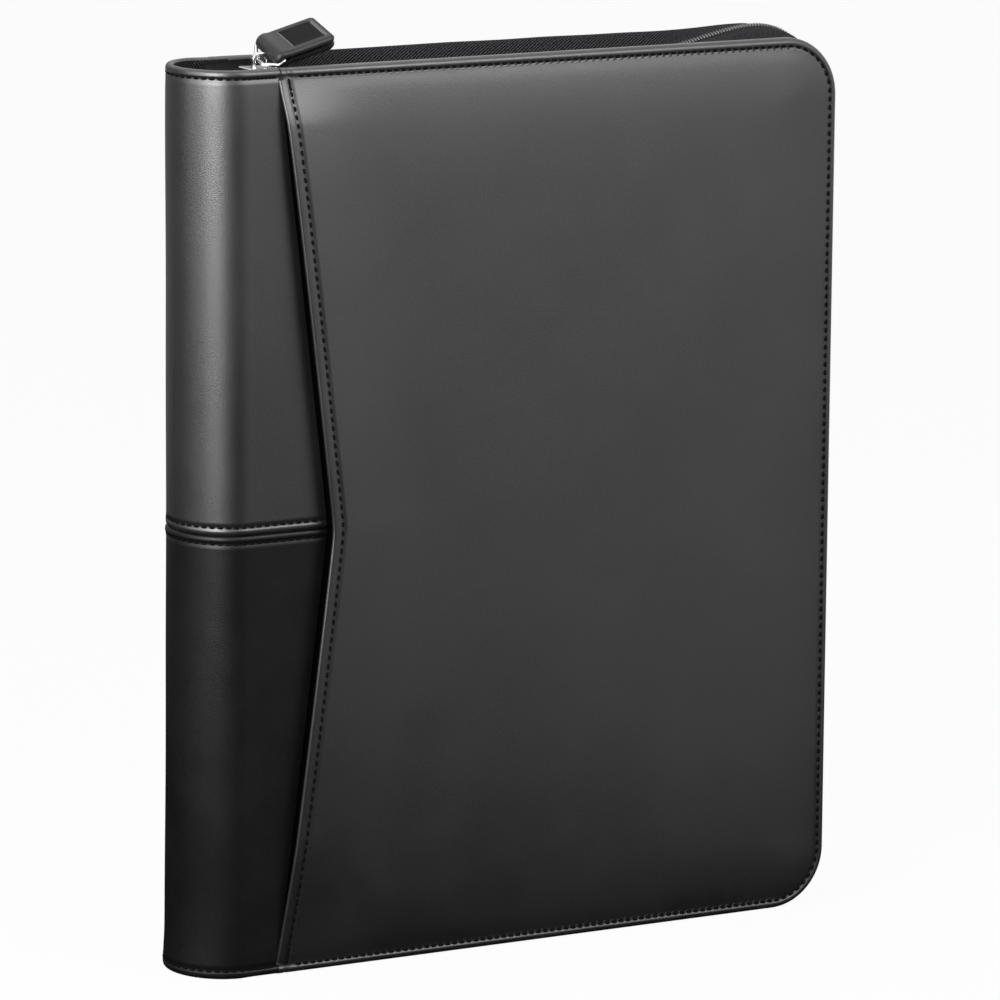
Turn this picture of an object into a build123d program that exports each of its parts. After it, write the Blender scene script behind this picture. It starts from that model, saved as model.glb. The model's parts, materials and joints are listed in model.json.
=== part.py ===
from build123d import *
from math import cos, pi, radians, sin, tan
import os

# Zippered padfolio: a leather writing case for a letter-size pad, closed by a zip round three edges.
# It stands on its bottom edge. X runs from the spine (-X) to the fore-edge (+X), the front cover faces
# -Y and Z is up. The origin is the middle of the bottom of the closed case. Millimetres.

os.makedirs("parts", exist_ok=True)

# Writing pad, which sets the size of the case
PAD_WIDTH = 216.0
PAD_HEIGHT = 279.0
PAD_MARGIN = 13.4
PAD_FOOT = 22.0
PAD_HEAD = 29.0
PAD_STANDOFF = 1.1
PAD_BACKING = 0.8
PAD_PAPER = 6.0
PAD_TAPE = 0.4
PAD_TAPE_FLAP = 28.0
PAD_POCKET = 1.0
PAD_POCKET_TOP = 200.0
PAD_POCKET_RIM = 2.4
PAD_POCKET_LAP = 6.0

# Pen loop in the gutter between the fold and the pad
PEN_RADIUS = 5.5
PEN_WALL = 0.8
PEN_SIDE = 0.7
PEN_LOOP_LENGTH = 45.0
PEN_LOOP_FOOT = 110.0
PEN_LOOP_GAP = 15.0
PEN_FLANGE = 14.0

# Case
CLEAR_DEPTH = 33.9
SPINE_DEPTH = 19.0
CORNER_RADIUS = 22.0
EDGE_ROUND = 2.5

# Sheet materials, in the order they lie from the outside in
LEATHER = 1.2
HEM = 1.0
POCKET_GAP = 0.3
POCKET_LINING = 0.6
FOAM = 1.5
BOARD = 1.8
SPINE_BOARD = 1.0
LINING = 0.8
TURN_IN_WIDTH = 10.0
FIT = 0.2
FOLD_GAP = 0.3
BOARD_SETBACK = 4.0

# Front slash pocket: its mouth is a shallow chevron whose tip meets the spine seam
MOUTH_END = 31.0
MOUTH_TIP = 50.0
MOUTH_TIP_ROUND = 10.0
MOUTH_ROUND = 1.0
SEAM_HEIGHT = 163.0
HEM_WIDTH = 9.0
TONGUE = 26.0

# Zip: a coil chain on woven tape, drawn in from the cover edges
ZIP_INSET = 4.5
TAPE = 0.8
TAPE_FLANGE = 6.5
TAPE_SETBACK = 3.0
COIL_THICKNESS = 2.4
COIL_WIDTH = 2.5
COIL_RIB = 0.8
COIL_PITCH = 1.65
CHAIN_GAP = 1.0
CORNER_FACETS = 8
STOP_LENGTH = 3.0
STOP_THICKNESS = 3.4
STOP_LAP = 1.0

# Zip slider
SLIDER_FROM_SPINE = 35.0
SLIDER_LENGTH = 13.0
SLIDER_FLANGE = 0.9
SLIDER_FLARE = 1.2
SLIDER_PLATE = 1.1
SLIDER_CLEARANCE = 0.25
SLIDER_ROUND = 0.4
SHOULDER_ROUND = 1.8
POST_LENGTH = 3.5
POST_THICKNESS = 0.7
CROWN_LENGTH = 6.4
CROWN_WIDTH = 2.2
CROWN_BAR = 1.2
CROWN_TOP = 1.9
CROWN_ROUND = 2.4
FRONT_CHAIN_GAP = 7.0

# Pull: a wire ring under the slider's crown, and a folded leather tab on the ring
RING_WIRE = 0.7
RING_NARROW = 2.6
RING_SHOULDER = 3.7
RING_LENGTH = 6.5
RING_CORNER = 1.0
RING_CLEARANCE = 0.25
PULL_YAW = 7.0
PULL_ROLL = 22.0
RING_PITCH = 40.0
TAB_PITCH = 16.0
TAB_LENGTH = 20.5
TAB_WIDTH = 13.5
TAB_LEATHER = 1.2
TAB_FILLER = 0.4
TAB_CORNER = 1.5
TAB_ROUND = 0.4

# Organizer inside the front cover
POCKET_PANEL = 1.0
ORGANIZER_MARGIN = 14.0
DOCUMENT_POCKET_TOP = 214.0
CARD_SLOT = 0.8
CARD_SLOT_WIDTH = 98.0
CARD_SLOT_STEP = 22.0
CARD_SLOT_FOOT = 112.0
CARD_SLOT_NAMES = ("back", "middle", "front")

# Depths of the layers below the front face and below the back face
WRAP_DEPTH = LEATHER + HEM + POCKET_GAP
FRONT_FOAM_DEPTH = WRAP_DEPTH + LEATHER
FRONT_BOARD_DEPTH = FRONT_FOAM_DEPTH + FOAM
FRONT_LINING_DEPTH = FRONT_BOARD_DEPTH + BOARD
FRONT_COVER = FRONT_LINING_DEPTH + LINING
BACK_BOARD_DEPTH = LEATHER + FOAM
BACK_LINING_DEPTH = BACK_BOARD_DEPTH + BOARD
BACK_COVER = BACK_LINING_DEPTH + LINING
SPINE_WALL = LEATHER + SPINE_BOARD + LINING

# Places of the main faces and lines
PEN_OUTER = PEN_RADIUS + PEN_WALL
GUTTER = 2 * (PEN_SIDE + PEN_OUTER) + PAD_POCKET_RIM + FIT
HEIGHT = PAD_FOOT + PAD_HEIGHT + PAD_HEAD
WIDTH = SPINE_DEPTH + GUTTER + PAD_WIDTH + PAD_MARGIN
THICKNESS = FRONT_COVER + CLEAR_DEPTH + BACK_COVER
FRONT_Y = -THICKNESS / 2
BACK_Y = THICKNESS / 2
FORE_X = WIDTH / 2
SPINE_X = -WIDTH / 2
FOLD_X = SPINE_X + SPINE_DEPTH
COVER_LEFT = FOLD_X + FOLD_GAP / 2
BOARD_LEFT = FOLD_X + BOARD_SETBACK
PAST_LEFT = FOLD_X - 2 * SPINE_DEPTH
FRONT_INSIDE = FRONT_Y + FRONT_COVER
BACK_INSIDE = BACK_Y - BACK_COVER
SPINE_Y = (FRONT_Y + WRAP_DEPTH + BACK_Y) / 2
SPINE_HALF = (BACK_Y - FRONT_Y - WRAP_DEPTH) / 2

# Places along the zip
ZIP_Y = (FRONT_INSIDE + BACK_INSIDE) / 2
CHAIN_INNER = CHAIN_GAP / 2
CHAIN_OUTER = CHAIN_INNER + COIL_WIDTH
CORNER_X = FORE_X - CORNER_RADIUS
SLIDER_X = SPINE_X + SLIDER_FROM_SPINE
SLIDER_TAIL_X = SLIDER_X + SLIDER_LENGTH / 2
SLIDER_TOP = COIL_THICKNESS / 2 + SLIDER_CLEARANCE + SLIDER_PLATE
SLIDER_PLACE = Pos(SLIDER_X, ZIP_Y, HEIGHT - ZIP_INSET)

# The ring's narrow bar clears the slider's top plate at its low end, and the crown clears the bar
RING_LIFT = RING_NARROW * sin(radians(PULL_ROLL)) + RING_WIRE + RING_CLEARANCE
CROWN_CLEAR = (
    RING_LIFT
    + RING_WIRE / cos(radians(PULL_ROLL))
    + CROWN_WIDTH / 2 * tan(radians(PULL_ROLL))
    + RING_CLEARANCE
)
TAB_EYE = RING_WIRE + FIT
TAB_THICKNESS = 2 * TAB_LEATHER + TAB_FILLER
RING_WIDE = TAB_WIDTH / 2 + RING_CLEARANCE + RING_WIRE
PULL_TILT = Rot(0, 0, PULL_YAW) * Rot(PULL_ROLL, 0, 0)
RING_PLACE = SLIDER_PLACE * Pos(0, 0, SLIDER_TOP + RING_LIFT) * PULL_TILT * Rot(0, -RING_PITCH, 0)
TAB_PLACE = RING_PLACE * Pos(RING_LENGTH, 0, 0) * Rot(0, RING_PITCH - TAB_PITCH, 0)


def slab(region, y_low, y_high):
    """Sketch drawn in X and Z, as a plate between two Y values."""
    return Pos(0, y_high, 0) * extrude(Plane.XZ * region, y_high - y_low)


def front_slab(region, near, far):
    """Plate between two depths below the front face."""
    return slab(region, FRONT_Y + near, FRONT_Y + far)


def back_slab(region, near, far):
    """Plate between two depths below the back face."""
    return slab(region, BACK_Y - far, BACK_Y - near)


def rectangle(x_low, x_high, z_low, z_high):
    """Rectangle given by its sides."""
    return Pos((x_low + x_high) / 2, (z_low + z_high) / 2) * Rectangle(x_high - x_low, z_high - z_low)


def panel(left, inset):
    """Cover outline cut straight at x = left and drawn in on its three open edges."""
    outline = rectangle(left, FORE_X - inset, inset, HEIGHT - inset)
    return fillet(outline.vertices().group_by(Axis.X)[-1], CORNER_RADIUS - inset)


def beyond_mouth(shift):
    """Everything on the fore-edge side of the pocket mouth, moved towards the fore-edge by shift."""
    end = SPINE_X + MOUTH_END + shift
    tip = SPINE_X + MOUTH_TIP + shift
    corners = [(end, -HEIGHT), (end, 0), (tip, SEAM_HEIGHT), (end, HEIGHT), (end, 2 * HEIGHT)]
    corners += [(WIDTH, 2 * HEIGHT), (WIDTH, -HEIGHT)]
    side = Sketch() + make_face(Polyline(*corners, close=True))
    return fillet(side.vertices().sort_by_distance((tip, SEAM_HEIGHT, 0))[0], MOUTH_TIP_ROUND)


def edge_band(outer, inner, left):
    """Band that follows the three open edges between two insets from the cover outline."""
    return panel(left, outer) - panel(PAST_LEFT, inner)


def inside_tape(region):
    """Part of a region that lies clear of the zip tape's sewn flange."""
    return region & panel(PAST_LEFT, ZIP_INSET - TAPE / 2 + TAPE_FLANGE + FIT)


def on_plane_y(solid, y):
    """Edges that lie in a plane of constant Y."""
    flat = [e for e in solid.edges() if e.bounding_box().size.Y < FIT / 10]
    return [e for e in flat if abs(e.center().Y - y) < FIT / 10]


def is_open_edge(edge):
    """True on the top, fore-edge or bottom of the cover outline."""
    centre = edge.center()
    return min(centre.Z, HEIGHT - centre.Z) < FIT or centre.X > CORNER_X


def turned_panel(plate, region, face_y, face_depth, full_depth):
    """Leather panel whose open edges are turned over the board: face, edge wall and turn-in."""
    block = plate(region, face_depth, full_depth)
    hollow = plate(panel(PAST_LEFT, LEATHER), face_depth + LEATHER, full_depth - LINING)
    window = plate(panel(PAST_LEFT, TURN_IN_WIDTH), full_depth - LINING, full_depth)
    turned = block - hollow - window
    rim = [e for e in on_plane_y(turned, face_y) if is_open_edge(e)]
    return fillet(rim, min(EDGE_ROUND, 2.8 * LEATHER))


def above_seam(solid):
    """Part of a solid above the seam round the spine."""
    return split(solid, Plane.XY.offset(SEAM_HEIGHT), keep=Keep.TOP)


def below_seam(solid):
    """Part of a solid below the seam round the spine."""
    return split(solid, Plane.XY.offset(SEAM_HEIGHT), keep=Keep.BOTTOM)


# Front cover

def front_wrap():
    """Spine leather carried on over the front cover, with a tongue that runs under the pocket."""
    outline = panel(COVER_LEFT, 0) - beyond_mouth(0)
    exposed = turned_panel(front_slab, outline, FRONT_Y + WRAP_DEPTH, WRAP_DEPTH, FRONT_COVER)
    covered = panel(COVER_LEFT, LEATHER + FIT) & (beyond_mouth(0) - beyond_mouth(TONGUE))
    return exposed + front_slab(covered, WRAP_DEPTH, WRAP_DEPTH + LEATHER)


def front_pocket_panel():
    """Outer pocket leather, turned over three edges and hemmed along its mouth."""
    outline = panel(COVER_LEFT, 0) & beyond_mouth(0)
    turned = turned_panel(front_slab, outline, FRONT_Y, 0, FRONT_COVER)
    hem = panel(COVER_LEFT, LEATHER) & (beyond_mouth(0) - beyond_mouth(HEM_WIDTH))
    hemmed = turned + front_slab(hem, LEATHER, LEATHER + HEM)
    mouth = [e for e in on_plane_y(hemmed, FRONT_Y) if e.bounding_box().max.X < SPINE_X + MOUTH_TIP + FIT]
    return fillet(mouth, MOUTH_ROUND)


def pocket_lining():
    """Cloth back wall of the slash pocket, laid on the foam."""
    region = panel(COVER_LEFT, LEATHER + FIT) & beyond_mouth(TONGUE)
    return front_slab(region, FRONT_FOAM_DEPTH - POCKET_LINING, FRONT_FOAM_DEPTH)


def document_pocket():
    """Pocket sheet across the inside of the front cover, open at its top."""
    right = FORE_X - ORGANIZER_MARGIN
    region = rectangle(FOLD_X + ORGANIZER_MARGIN, right, ORGANIZER_MARGIN, DOCUMENT_POCKET_TOP)
    near = FRONT_COVER + POCKET_GAP
    return front_slab(inside_tape(region), near, near + POCKET_PANEL)


def card_slot(order):
    """Card slot sheet: each lies on the last and stops one step lower."""
    near = FRONT_COVER + POCKET_GAP + POCKET_PANEL + order * CARD_SLOT
    right = FORE_X - 2 * ORGANIZER_MARGIN
    top = CARD_SLOT_FOOT + (len(CARD_SLOT_NAMES) + 1 - order) * CARD_SLOT_STEP
    region = rectangle(right - CARD_SLOT_WIDTH, right, CARD_SLOT_FOOT, top)
    return front_slab(region, near, near + CARD_SLOT)


# Spine

def spine_layer(outer, inner, z_low, z_high):
    """Layer of the rounded spine between two insets from its outer face."""
    ring = Ellipse(SPINE_DEPTH - outer, SPINE_HALF - outer) - Ellipse(SPINE_DEPTH - inner, SPINE_HALF - inner)
    reach = 2 * SPINE_HALF
    left_half = Pos(-(reach + FOLD_GAP) / 2, 0) * Rectangle(reach, 2 * reach)
    return Pos(FOLD_X, SPINE_Y, z_low) * extrude(ring & left_half, z_high - z_low)


def spine_leather():
    """Spine leather with its top and bottom edges turned in over the stiffener."""
    skin = spine_layer(0, LEATHER, 0, HEIGHT)
    skin += spine_layer(0, SPINE_WALL, 0, LEATHER)
    skin += spine_layer(0, SPINE_WALL, HEIGHT - LEATHER, HEIGHT)
    skin += spine_layer(SPINE_WALL - LINING, SPINE_WALL, 0, TURN_IN_WIDTH)
    skin += spine_layer(SPINE_WALL - LINING, SPINE_WALL, HEIGHT - TURN_IN_WIDTH, HEIGHT)
    curved = skin.edges().filter_by(GeomType.ELLIPSE).group_by(Axis.Z)
    rim = [max(curved[0], key=lambda e: e.length), max(curved[-1], key=lambda e: e.length)]
    return fillet(rim, LEATHER)


# Zip

def zip_tape(side):
    """Half of the zip tape (side -1 front, +1 back): a wall out to the chain on a flange sewn to the cover."""
    sewn = FRONT_INSIDE if side < 0 else BACK_INSIDE
    edge = ZIP_Y + side * CHAIN_OUTER
    outer = ZIP_INSET - TAPE / 2
    left = FOLD_X + TAPE_SETBACK
    inner_y = sewn - side * TAPE
    wall = slab(edge_band(outer, outer + TAPE, left), min(sewn, edge), max(sewn, edge))
    flange = slab(edge_band(outer, outer + TAPE_FLANGE, left), min(sewn, inner_y), max(sewn, inner_y))
    gore = make_face(Polyline((FOLD_X, edge), (SLIDER_X, edge), (FOLD_X, inner_y), close=True))
    return wall + flange - extrude(Plane.XY * gore, HEIGHT, dir=(0, 0, 1))


def chain_runs(start_x):
    """Lengths of the chain's runs: top, corner, fore-edge, corner and bottom."""
    bend = (CORNER_RADIUS - ZIP_INSET) * pi / 2
    return (CORNER_X - start_x, bend, HEIGHT - 2 * CORNER_RADIUS, bend, CORNER_X - SLIDER_TAIL_X)


def chain_point(s, inset, start_x):
    """Point at length s along the chain, at an inset from the cover outline."""
    top, bend, fore, _, _ = chain_runs(start_x)
    radius = CORNER_RADIUS - inset
    if s < top:
        return (start_x + s, HEIGHT - inset)
    if s < top + bend:
        turn = (s - top) / bend * pi / 2
        return (CORNER_X + radius * sin(turn), HEIGHT - CORNER_RADIUS + radius * cos(turn))
    if s < top + bend + fore:
        return (FORE_X - inset, HEIGHT - CORNER_RADIUS - (s - top - bend))
    if s < top + bend + fore + bend:
        turn = (s - top - bend - fore) / bend * pi / 2
        return (CORNER_X + radius * cos(turn), CORNER_RADIUS - radius * sin(turn))
    return (CORNER_X - (s - top - bend - fore - bend), inset)


def zip_coil(side, start_x):
    """Half of the coil chain: a ribbed strip along the tape's edge, one rib to each turn of the coil."""
    top, bend, fore, _, foot = chain_runs(start_x)
    turns = int((top + bend + fore + bend + foot) / COIL_PITCH)
    crest = ZIP_INSET - COIL_THICKNESS / 2
    ribs = [
        chain_point(half * COIL_PITCH / 2, crest + half % 2 * COIL_RIB, start_x) for half in range(2 * turns + 1)
    ]
    corner = [step * bend / CORNER_FACETS for step in range(CORNER_FACETS + 1)]
    stations = [0] + [top + s for s in corner] + [top + bend + fore + s for s in corner] + [turns * COIL_PITCH]
    base = [chain_point(s, ZIP_INSET + COIL_THICKNESS / 2, start_x) for s in stations]
    strip = make_face(Polyline(*ribs, *reversed(base), close=True))
    edges = sorted((ZIP_Y + side * CHAIN_INNER, ZIP_Y + side * CHAIN_OUTER))
    return slab(strip, *edges)


def zip_stop(side):
    """Metal clip that closes the foot of one half of the chain, clamped over the tape's edge."""
    reach = COIL_WIDTH + STOP_LAP
    middle = ZIP_Y + side * (CHAIN_INNER + reach / 2)
    clip = Box(STOP_LENGTH, reach, STOP_THICKNESS)
    clip = fillet(clip.edges().filter_by(Axis.X), FIT)
    slot = Pos(0, side * (reach - STOP_LAP), 0) * Box(2 * STOP_LENGTH, reach, TAPE + FIT)
    return Pos(SLIDER_TAIL_X - FIT - STOP_LENGTH / 2, middle, ZIP_INSET) * (clip - slot)


def slider_body():
    """Slider: two plates with flanges that hold the chain, joined by the post that parts it."""
    tail = CHAIN_OUTER + SLIDER_CLEARANCE + SLIDER_FLANGE
    shoulder = tail + SLIDER_FLARE
    nose = Pos(SHOULDER_ROUND - SLIDER_LENGTH / 2, 0) * Circle(SHOULDER_ROUND)
    shoulders = [Pos(0, s * (shoulder - SHOULDER_ROUND)) * nose for s in (-1, 1)]
    plan = shoulders + [Pos(SLIDER_LENGTH / 2 - tail, 0) * Circle(tail)]
    outline = make_hull([e for circle in plan for e in circle.edges()])
    body = extrude(outline, SLIDER_TOP, both=True)
    body = fillet(body.faces().sort_by(Axis.Z)[0].edges() + body.faces().sort_by(Axis.Z)[-1].edges(), SLIDER_ROUND)
    channel = Box(2 * SLIDER_LENGTH, 2 * (CHAIN_OUTER + SLIDER_CLEARANCE), COIL_THICKNESS + 2 * SLIDER_CLEARANCE)
    slot = Box(2 * SLIDER_LENGTH, 2 * SLIDER_LENGTH, TAPE + 2 * SLIDER_CLEARANCE)
    post = Box(POST_LENGTH, POST_THICKNESS, COIL_THICKNESS + 2 * SLIDER_CLEARANCE)
    post_place = Pos(SLIDER_ROUND + POST_LENGTH / 2 - SLIDER_LENGTH / 2, 0, 0)
    return SLIDER_PLACE * (body - channel - slot + post_place * post)


def slider_crown():
    """Arched crown on the slider's top plate, which the ring passes under."""
    rise = CROWN_CLEAR + CROWN_TOP
    arch = rectangle(-CROWN_LENGTH / 2, CROWN_LENGTH / 2, 0, rise)
    arch = fillet(arch.vertices().group_by(Axis.Y)[-1], CROWN_ROUND)
    eye = rectangle(CROWN_BAR - CROWN_LENGTH / 2, CROWN_LENGTH / 2 - CROWN_BAR, 0, CROWN_CLEAR)
    eye = fillet(eye.vertices().group_by(Axis.Y)[-1], CROWN_ROUND - CROWN_BAR)
    crown = slab(arch - eye, -CROWN_WIDTH / 2, CROWN_WIDTH / 2)
    sides = on_plane_y(crown, CROWN_WIDTH / 2) + on_plane_y(crown, -CROWN_WIDTH / 2)
    crown = fillet([e for e in sides if e.center().Z > FIT], SLIDER_ROUND)
    return SLIDER_PLACE * Pos(0, 0, SLIDER_TOP) * crown


def pull_ring():
    """Wire ring: a narrow bar under the crown, widening to the bar that carries the leather tab."""
    narrow = [(0, -RING_NARROW), (0, RING_NARROW)]
    wide = [(RING_SHOULDER, RING_WIDE), (RING_LENGTH, RING_WIDE)]
    mirrored = [(x, -y) for x, y in reversed(wide)]
    path = FilletPolyline(*narrow, *wide, *mirrored, radius=RING_CORNER, close=True)
    return RING_PLACE * sweep((path ^ 0) * Circle(RING_WIRE), path=path)


def pull_tab():
    """Leather strip folded round the ring's wide bar and sewn flat on a filler."""
    eye_wall = Circle(TAB_EYE + TAB_LEATHER)
    flat = rectangle(0, TAB_LENGTH, -TAB_THICKNESS / 2, TAB_THICKNESS / 2)
    profile = eye_wall + flat - Circle(TAB_EYE)
    tab = slab(profile, -TAB_WIDTH / 2, TAB_WIDTH / 2)
    tip = tab.faces().sort_by(Axis.X)[-1]
    tab = fillet(tip.edges().filter_by(Axis.Z), TAB_CORNER)
    broad = [f for f in tab.faces().filter_by(Axis.Z) if f.center().X > TAB_LENGTH / 3]
    ends = [e for f in broad for e in f.edges() if e.center().X > TAB_LENGTH - TAB_CORNER]
    return TAB_PLACE * fillet(ends, TAB_ROUND)


# Writing pad and pen loop on the back cover

PAD_RIGHT = FORE_X - PAD_MARGIN
PAD_LEFT = PAD_RIGHT - PAD_WIDTH
PAD_TOP = PAD_FOOT + PAD_HEIGHT
BACKING_DEPTH = BACK_COVER + PAD_STANDOFF
POCKET_DEPTH = BACKING_DEPTH + PAD_BACKING + FIT
PAPER_DEPTH = POCKET_DEPTH + PAD_POCKET + FIT
PAD_FACE = PAPER_DEPTH + PAD_PAPER


def pad_backing():
    """Stiff backing of the pad, slipped behind the pad pocket."""
    return back_slab(
        rectangle(PAD_LEFT, PAD_RIGHT, PAD_FOOT, PAD_TOP), BACKING_DEPTH, BACKING_DEPTH + PAD_BACKING
    )


def pad_sheets():
    """Block of paper in front of the pad pocket, bound to the backing above the pocket's edge."""
    block = back_slab(rectangle(PAD_LEFT, PAD_RIGHT, PAD_FOOT, PAD_TOP), PAPER_DEPTH, PAD_FACE)
    bound = rectangle(PAD_LEFT, PAD_RIGHT, PAD_POCKET_TOP + PAD_POCKET_LAP, PAD_TOP)
    return block + back_slab(bound, BACKING_DEPTH + PAD_BACKING, PAPER_DEPTH)


def pad_header():
    """Binding tape folded over the head of the pad."""
    foot = PAD_TOP - PAD_TAPE_FLAP
    cover = back_slab(
        rectangle(PAD_LEFT, PAD_RIGHT, foot, PAD_TOP + PAD_TAPE), BACKING_DEPTH - PAD_TAPE, PAD_FACE + PAD_TAPE
    )
    inside = rectangle(PAD_LEFT - FIT, PAD_RIGHT + FIT, foot - FIT, PAD_TOP)
    return cover - back_slab(inside, BACKING_DEPTH, PAD_FACE)


def pad_pocket():
    """Sheet that holds the pad's backing, raised on its sewn rim at the foot and both sides."""
    left = PAD_LEFT - FIT
    right = PAD_RIGHT + FIT
    foot = PAD_FOOT - FIT
    far = POCKET_DEPTH + PAD_POCKET
    sheet = rectangle(left - PAD_POCKET_RIM, right + PAD_POCKET_RIM, foot - PAD_POCKET_RIM, PAD_POCKET_TOP)
    left_top = PEN_LOOP_FOOT - PEN_LOOP_GAP
    rims = rectangle(right, right + PAD_POCKET_RIM, foot - PAD_POCKET_RIM, PAD_POCKET_TOP)
    rims += rectangle(left - PAD_POCKET_RIM, left, foot - PAD_POCKET_RIM, left_top)
    rims += rectangle(left - PAD_POCKET_RIM, right + PAD_POCKET_RIM, foot - PAD_POCKET_RIM, foot)
    return back_slab(inside_tape(sheet), POCKET_DEPTH, far) + back_slab(inside_tape(rims), BACK_COVER, far)


def pen_loop():
    """Elastic loop for a pen, with the flange that is sewn under the edge of the pad."""
    middle_x = FOLD_X + PEN_SIDE + PEN_OUTER
    middle_y = BACK_INSIDE - PEN_OUTER
    flange = Pos(PEN_FLANGE / 2, PEN_OUTER - PEN_WALL / 2) * Rectangle(PEN_FLANGE, PEN_WALL)
    profile = Circle(PEN_OUTER) + flange - Circle(PEN_RADIUS)
    return Pos(middle_x, middle_y, PEN_LOOP_FOOT) * extrude(profile, PEN_LOOP_LENGTH)


FRONT_WRAP = front_wrap()
SPINE_LEATHER = spine_leather()
BACK_OUTLINE = panel(COVER_LEFT, 0)
CUSHION = panel(BOARD_LEFT, LEATHER + FIT)
INSIDE = panel(BOARD_LEFT, TURN_IN_WIDTH)
STIFFENER_TOP = HEIGHT - LEATHER

NODES = {
    "back_leather": turned_panel(back_slab, BACK_OUTLINE, BACK_Y, 0, BACK_COVER),
    "back_foam": back_slab(CUSHION, LEATHER, BACK_BOARD_DEPTH),
    "back_board": back_slab(CUSHION, BACK_BOARD_DEPTH, BACK_LINING_DEPTH),
    "back_lining": back_slab(INSIDE, BACK_LINING_DEPTH, BACK_COVER),
    "back_zip_tape": zip_tape(1),
    "back_zip_coil": zip_coil(1, SLIDER_X - SLIDER_LENGTH / 2 + POST_LENGTH),
    "back_zip_stop": zip_stop(1),
    "pad_pocket": pad_pocket(),
    "pad_backing": pad_backing(),
    "pad_sheets": pad_sheets(),
    "pad_header": pad_header(),
    "pen_loop": pen_loop(),
    "spine_leather_upper": above_seam(SPINE_LEATHER),
    "spine_leather_lower": below_seam(SPINE_LEATHER),
    "spine_board": spine_layer(LEATHER, LEATHER + SPINE_BOARD, LEATHER, STIFFENER_TOP),
    "spine_lining": spine_layer(
        LEATHER + SPINE_BOARD, SPINE_WALL, TURN_IN_WIDTH, HEIGHT - TURN_IN_WIDTH
    ),
    "front_wrap_upper": above_seam(FRONT_WRAP),
    "front_wrap_lower": below_seam(FRONT_WRAP),
    "front_pocket_panel": front_pocket_panel(),
    "pocket_lining": pocket_lining(),
    "front_foam": front_slab(CUSHION, FRONT_FOAM_DEPTH, FRONT_BOARD_DEPTH),
    "front_board": front_slab(CUSHION, FRONT_BOARD_DEPTH, FRONT_LINING_DEPTH),
    "front_lining": front_slab(INSIDE, FRONT_LINING_DEPTH, FRONT_COVER),
    "front_zip_tape": zip_tape(-1),
    "front_zip_coil": zip_coil(-1, SLIDER_TAIL_X + FRONT_CHAIN_GAP),
    "front_zip_stop": zip_stop(-1),
    "document_pocket": document_pocket(),
    "slider_body": slider_body(),
    "slider_crown": slider_crown(),
    "pull_ring": pull_ring(),
    "pull_tab": pull_tab(),
}
for place, name in enumerate(CARD_SLOT_NAMES):
    NODES["card_slot_" + name] = card_slot(place)

for node, solid in NODES.items():
    export_step(solid, "parts/" + node + ".step")
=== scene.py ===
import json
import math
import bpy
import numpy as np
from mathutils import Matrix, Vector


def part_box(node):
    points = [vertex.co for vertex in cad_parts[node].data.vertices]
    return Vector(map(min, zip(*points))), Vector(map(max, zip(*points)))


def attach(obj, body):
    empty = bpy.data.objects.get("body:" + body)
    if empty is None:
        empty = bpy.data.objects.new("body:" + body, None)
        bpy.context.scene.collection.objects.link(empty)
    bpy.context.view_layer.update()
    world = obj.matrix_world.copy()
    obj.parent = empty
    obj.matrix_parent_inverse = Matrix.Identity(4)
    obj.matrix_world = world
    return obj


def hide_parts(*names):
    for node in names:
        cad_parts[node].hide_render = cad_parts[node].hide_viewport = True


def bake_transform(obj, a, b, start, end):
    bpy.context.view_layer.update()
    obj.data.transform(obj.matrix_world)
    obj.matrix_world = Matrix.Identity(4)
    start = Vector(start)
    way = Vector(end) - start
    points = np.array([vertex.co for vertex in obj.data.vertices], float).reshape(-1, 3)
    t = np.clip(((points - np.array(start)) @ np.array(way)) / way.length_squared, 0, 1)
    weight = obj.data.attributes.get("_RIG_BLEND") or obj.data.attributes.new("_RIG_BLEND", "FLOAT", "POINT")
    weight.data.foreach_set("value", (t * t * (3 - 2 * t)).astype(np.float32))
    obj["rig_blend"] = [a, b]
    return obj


bl_info = {
    "name": "Zippered padfolio",
    "version": (1, 0, 0),
    "blender": (4, 5, 0),
    "location": "View3D > Sidebar > Padfolio",
    "description": "Leather, zip, lining and paper of a zippered padfolio, laid over its packed solids",
    "category": "Add Mesh",
}

import bmesh
import bpy
from bpy.props import FloatProperty, FloatVectorProperty, IntProperty, PointerProperty
from mathutils import Matrix, Vector, noise

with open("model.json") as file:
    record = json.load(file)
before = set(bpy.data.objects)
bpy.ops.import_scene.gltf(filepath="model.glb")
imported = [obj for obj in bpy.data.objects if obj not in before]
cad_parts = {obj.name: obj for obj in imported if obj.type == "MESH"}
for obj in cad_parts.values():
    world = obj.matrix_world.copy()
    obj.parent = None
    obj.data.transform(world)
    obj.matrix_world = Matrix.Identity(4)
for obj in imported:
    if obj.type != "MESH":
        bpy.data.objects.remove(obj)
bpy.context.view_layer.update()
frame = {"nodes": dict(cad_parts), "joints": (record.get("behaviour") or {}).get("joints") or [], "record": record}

MM = 0.001

# Places of the main faces and lines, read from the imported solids
JOINT = {joint["name"]: joint for joint in frame["joints"]}
FOLD_X = JOINT["spine_fold"]["pos_m"][0]
WRAP_Y = JOINT["cover_fold"]["pos_m"][1]
FORE_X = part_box("back_leather")[1].x
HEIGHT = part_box("back_leather")[1].z
BACK_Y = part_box("back_leather")[1].y
FRONT_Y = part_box("front_pocket_panel")[0].y
SPINE_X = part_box("spine_leather_upper")[0].x
SEAM_Z = (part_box("spine_leather_upper")[0].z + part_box("spine_leather_lower")[1].z) / 2
FRONT_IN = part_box("front_lining")[1].y
BACK_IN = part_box("back_lining")[0].y
ZIP_Y = (FRONT_IN + BACK_IN) / 2
SPINE_Y = (WRAP_Y + BACK_Y) / 2
SPINE_HALF = (BACK_Y - WRAP_Y) / 2
SPINE_DEPTH = FOLD_X - SPINE_X
SLIDER_LOW, SLIDER_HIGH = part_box("slider_body")
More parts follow.
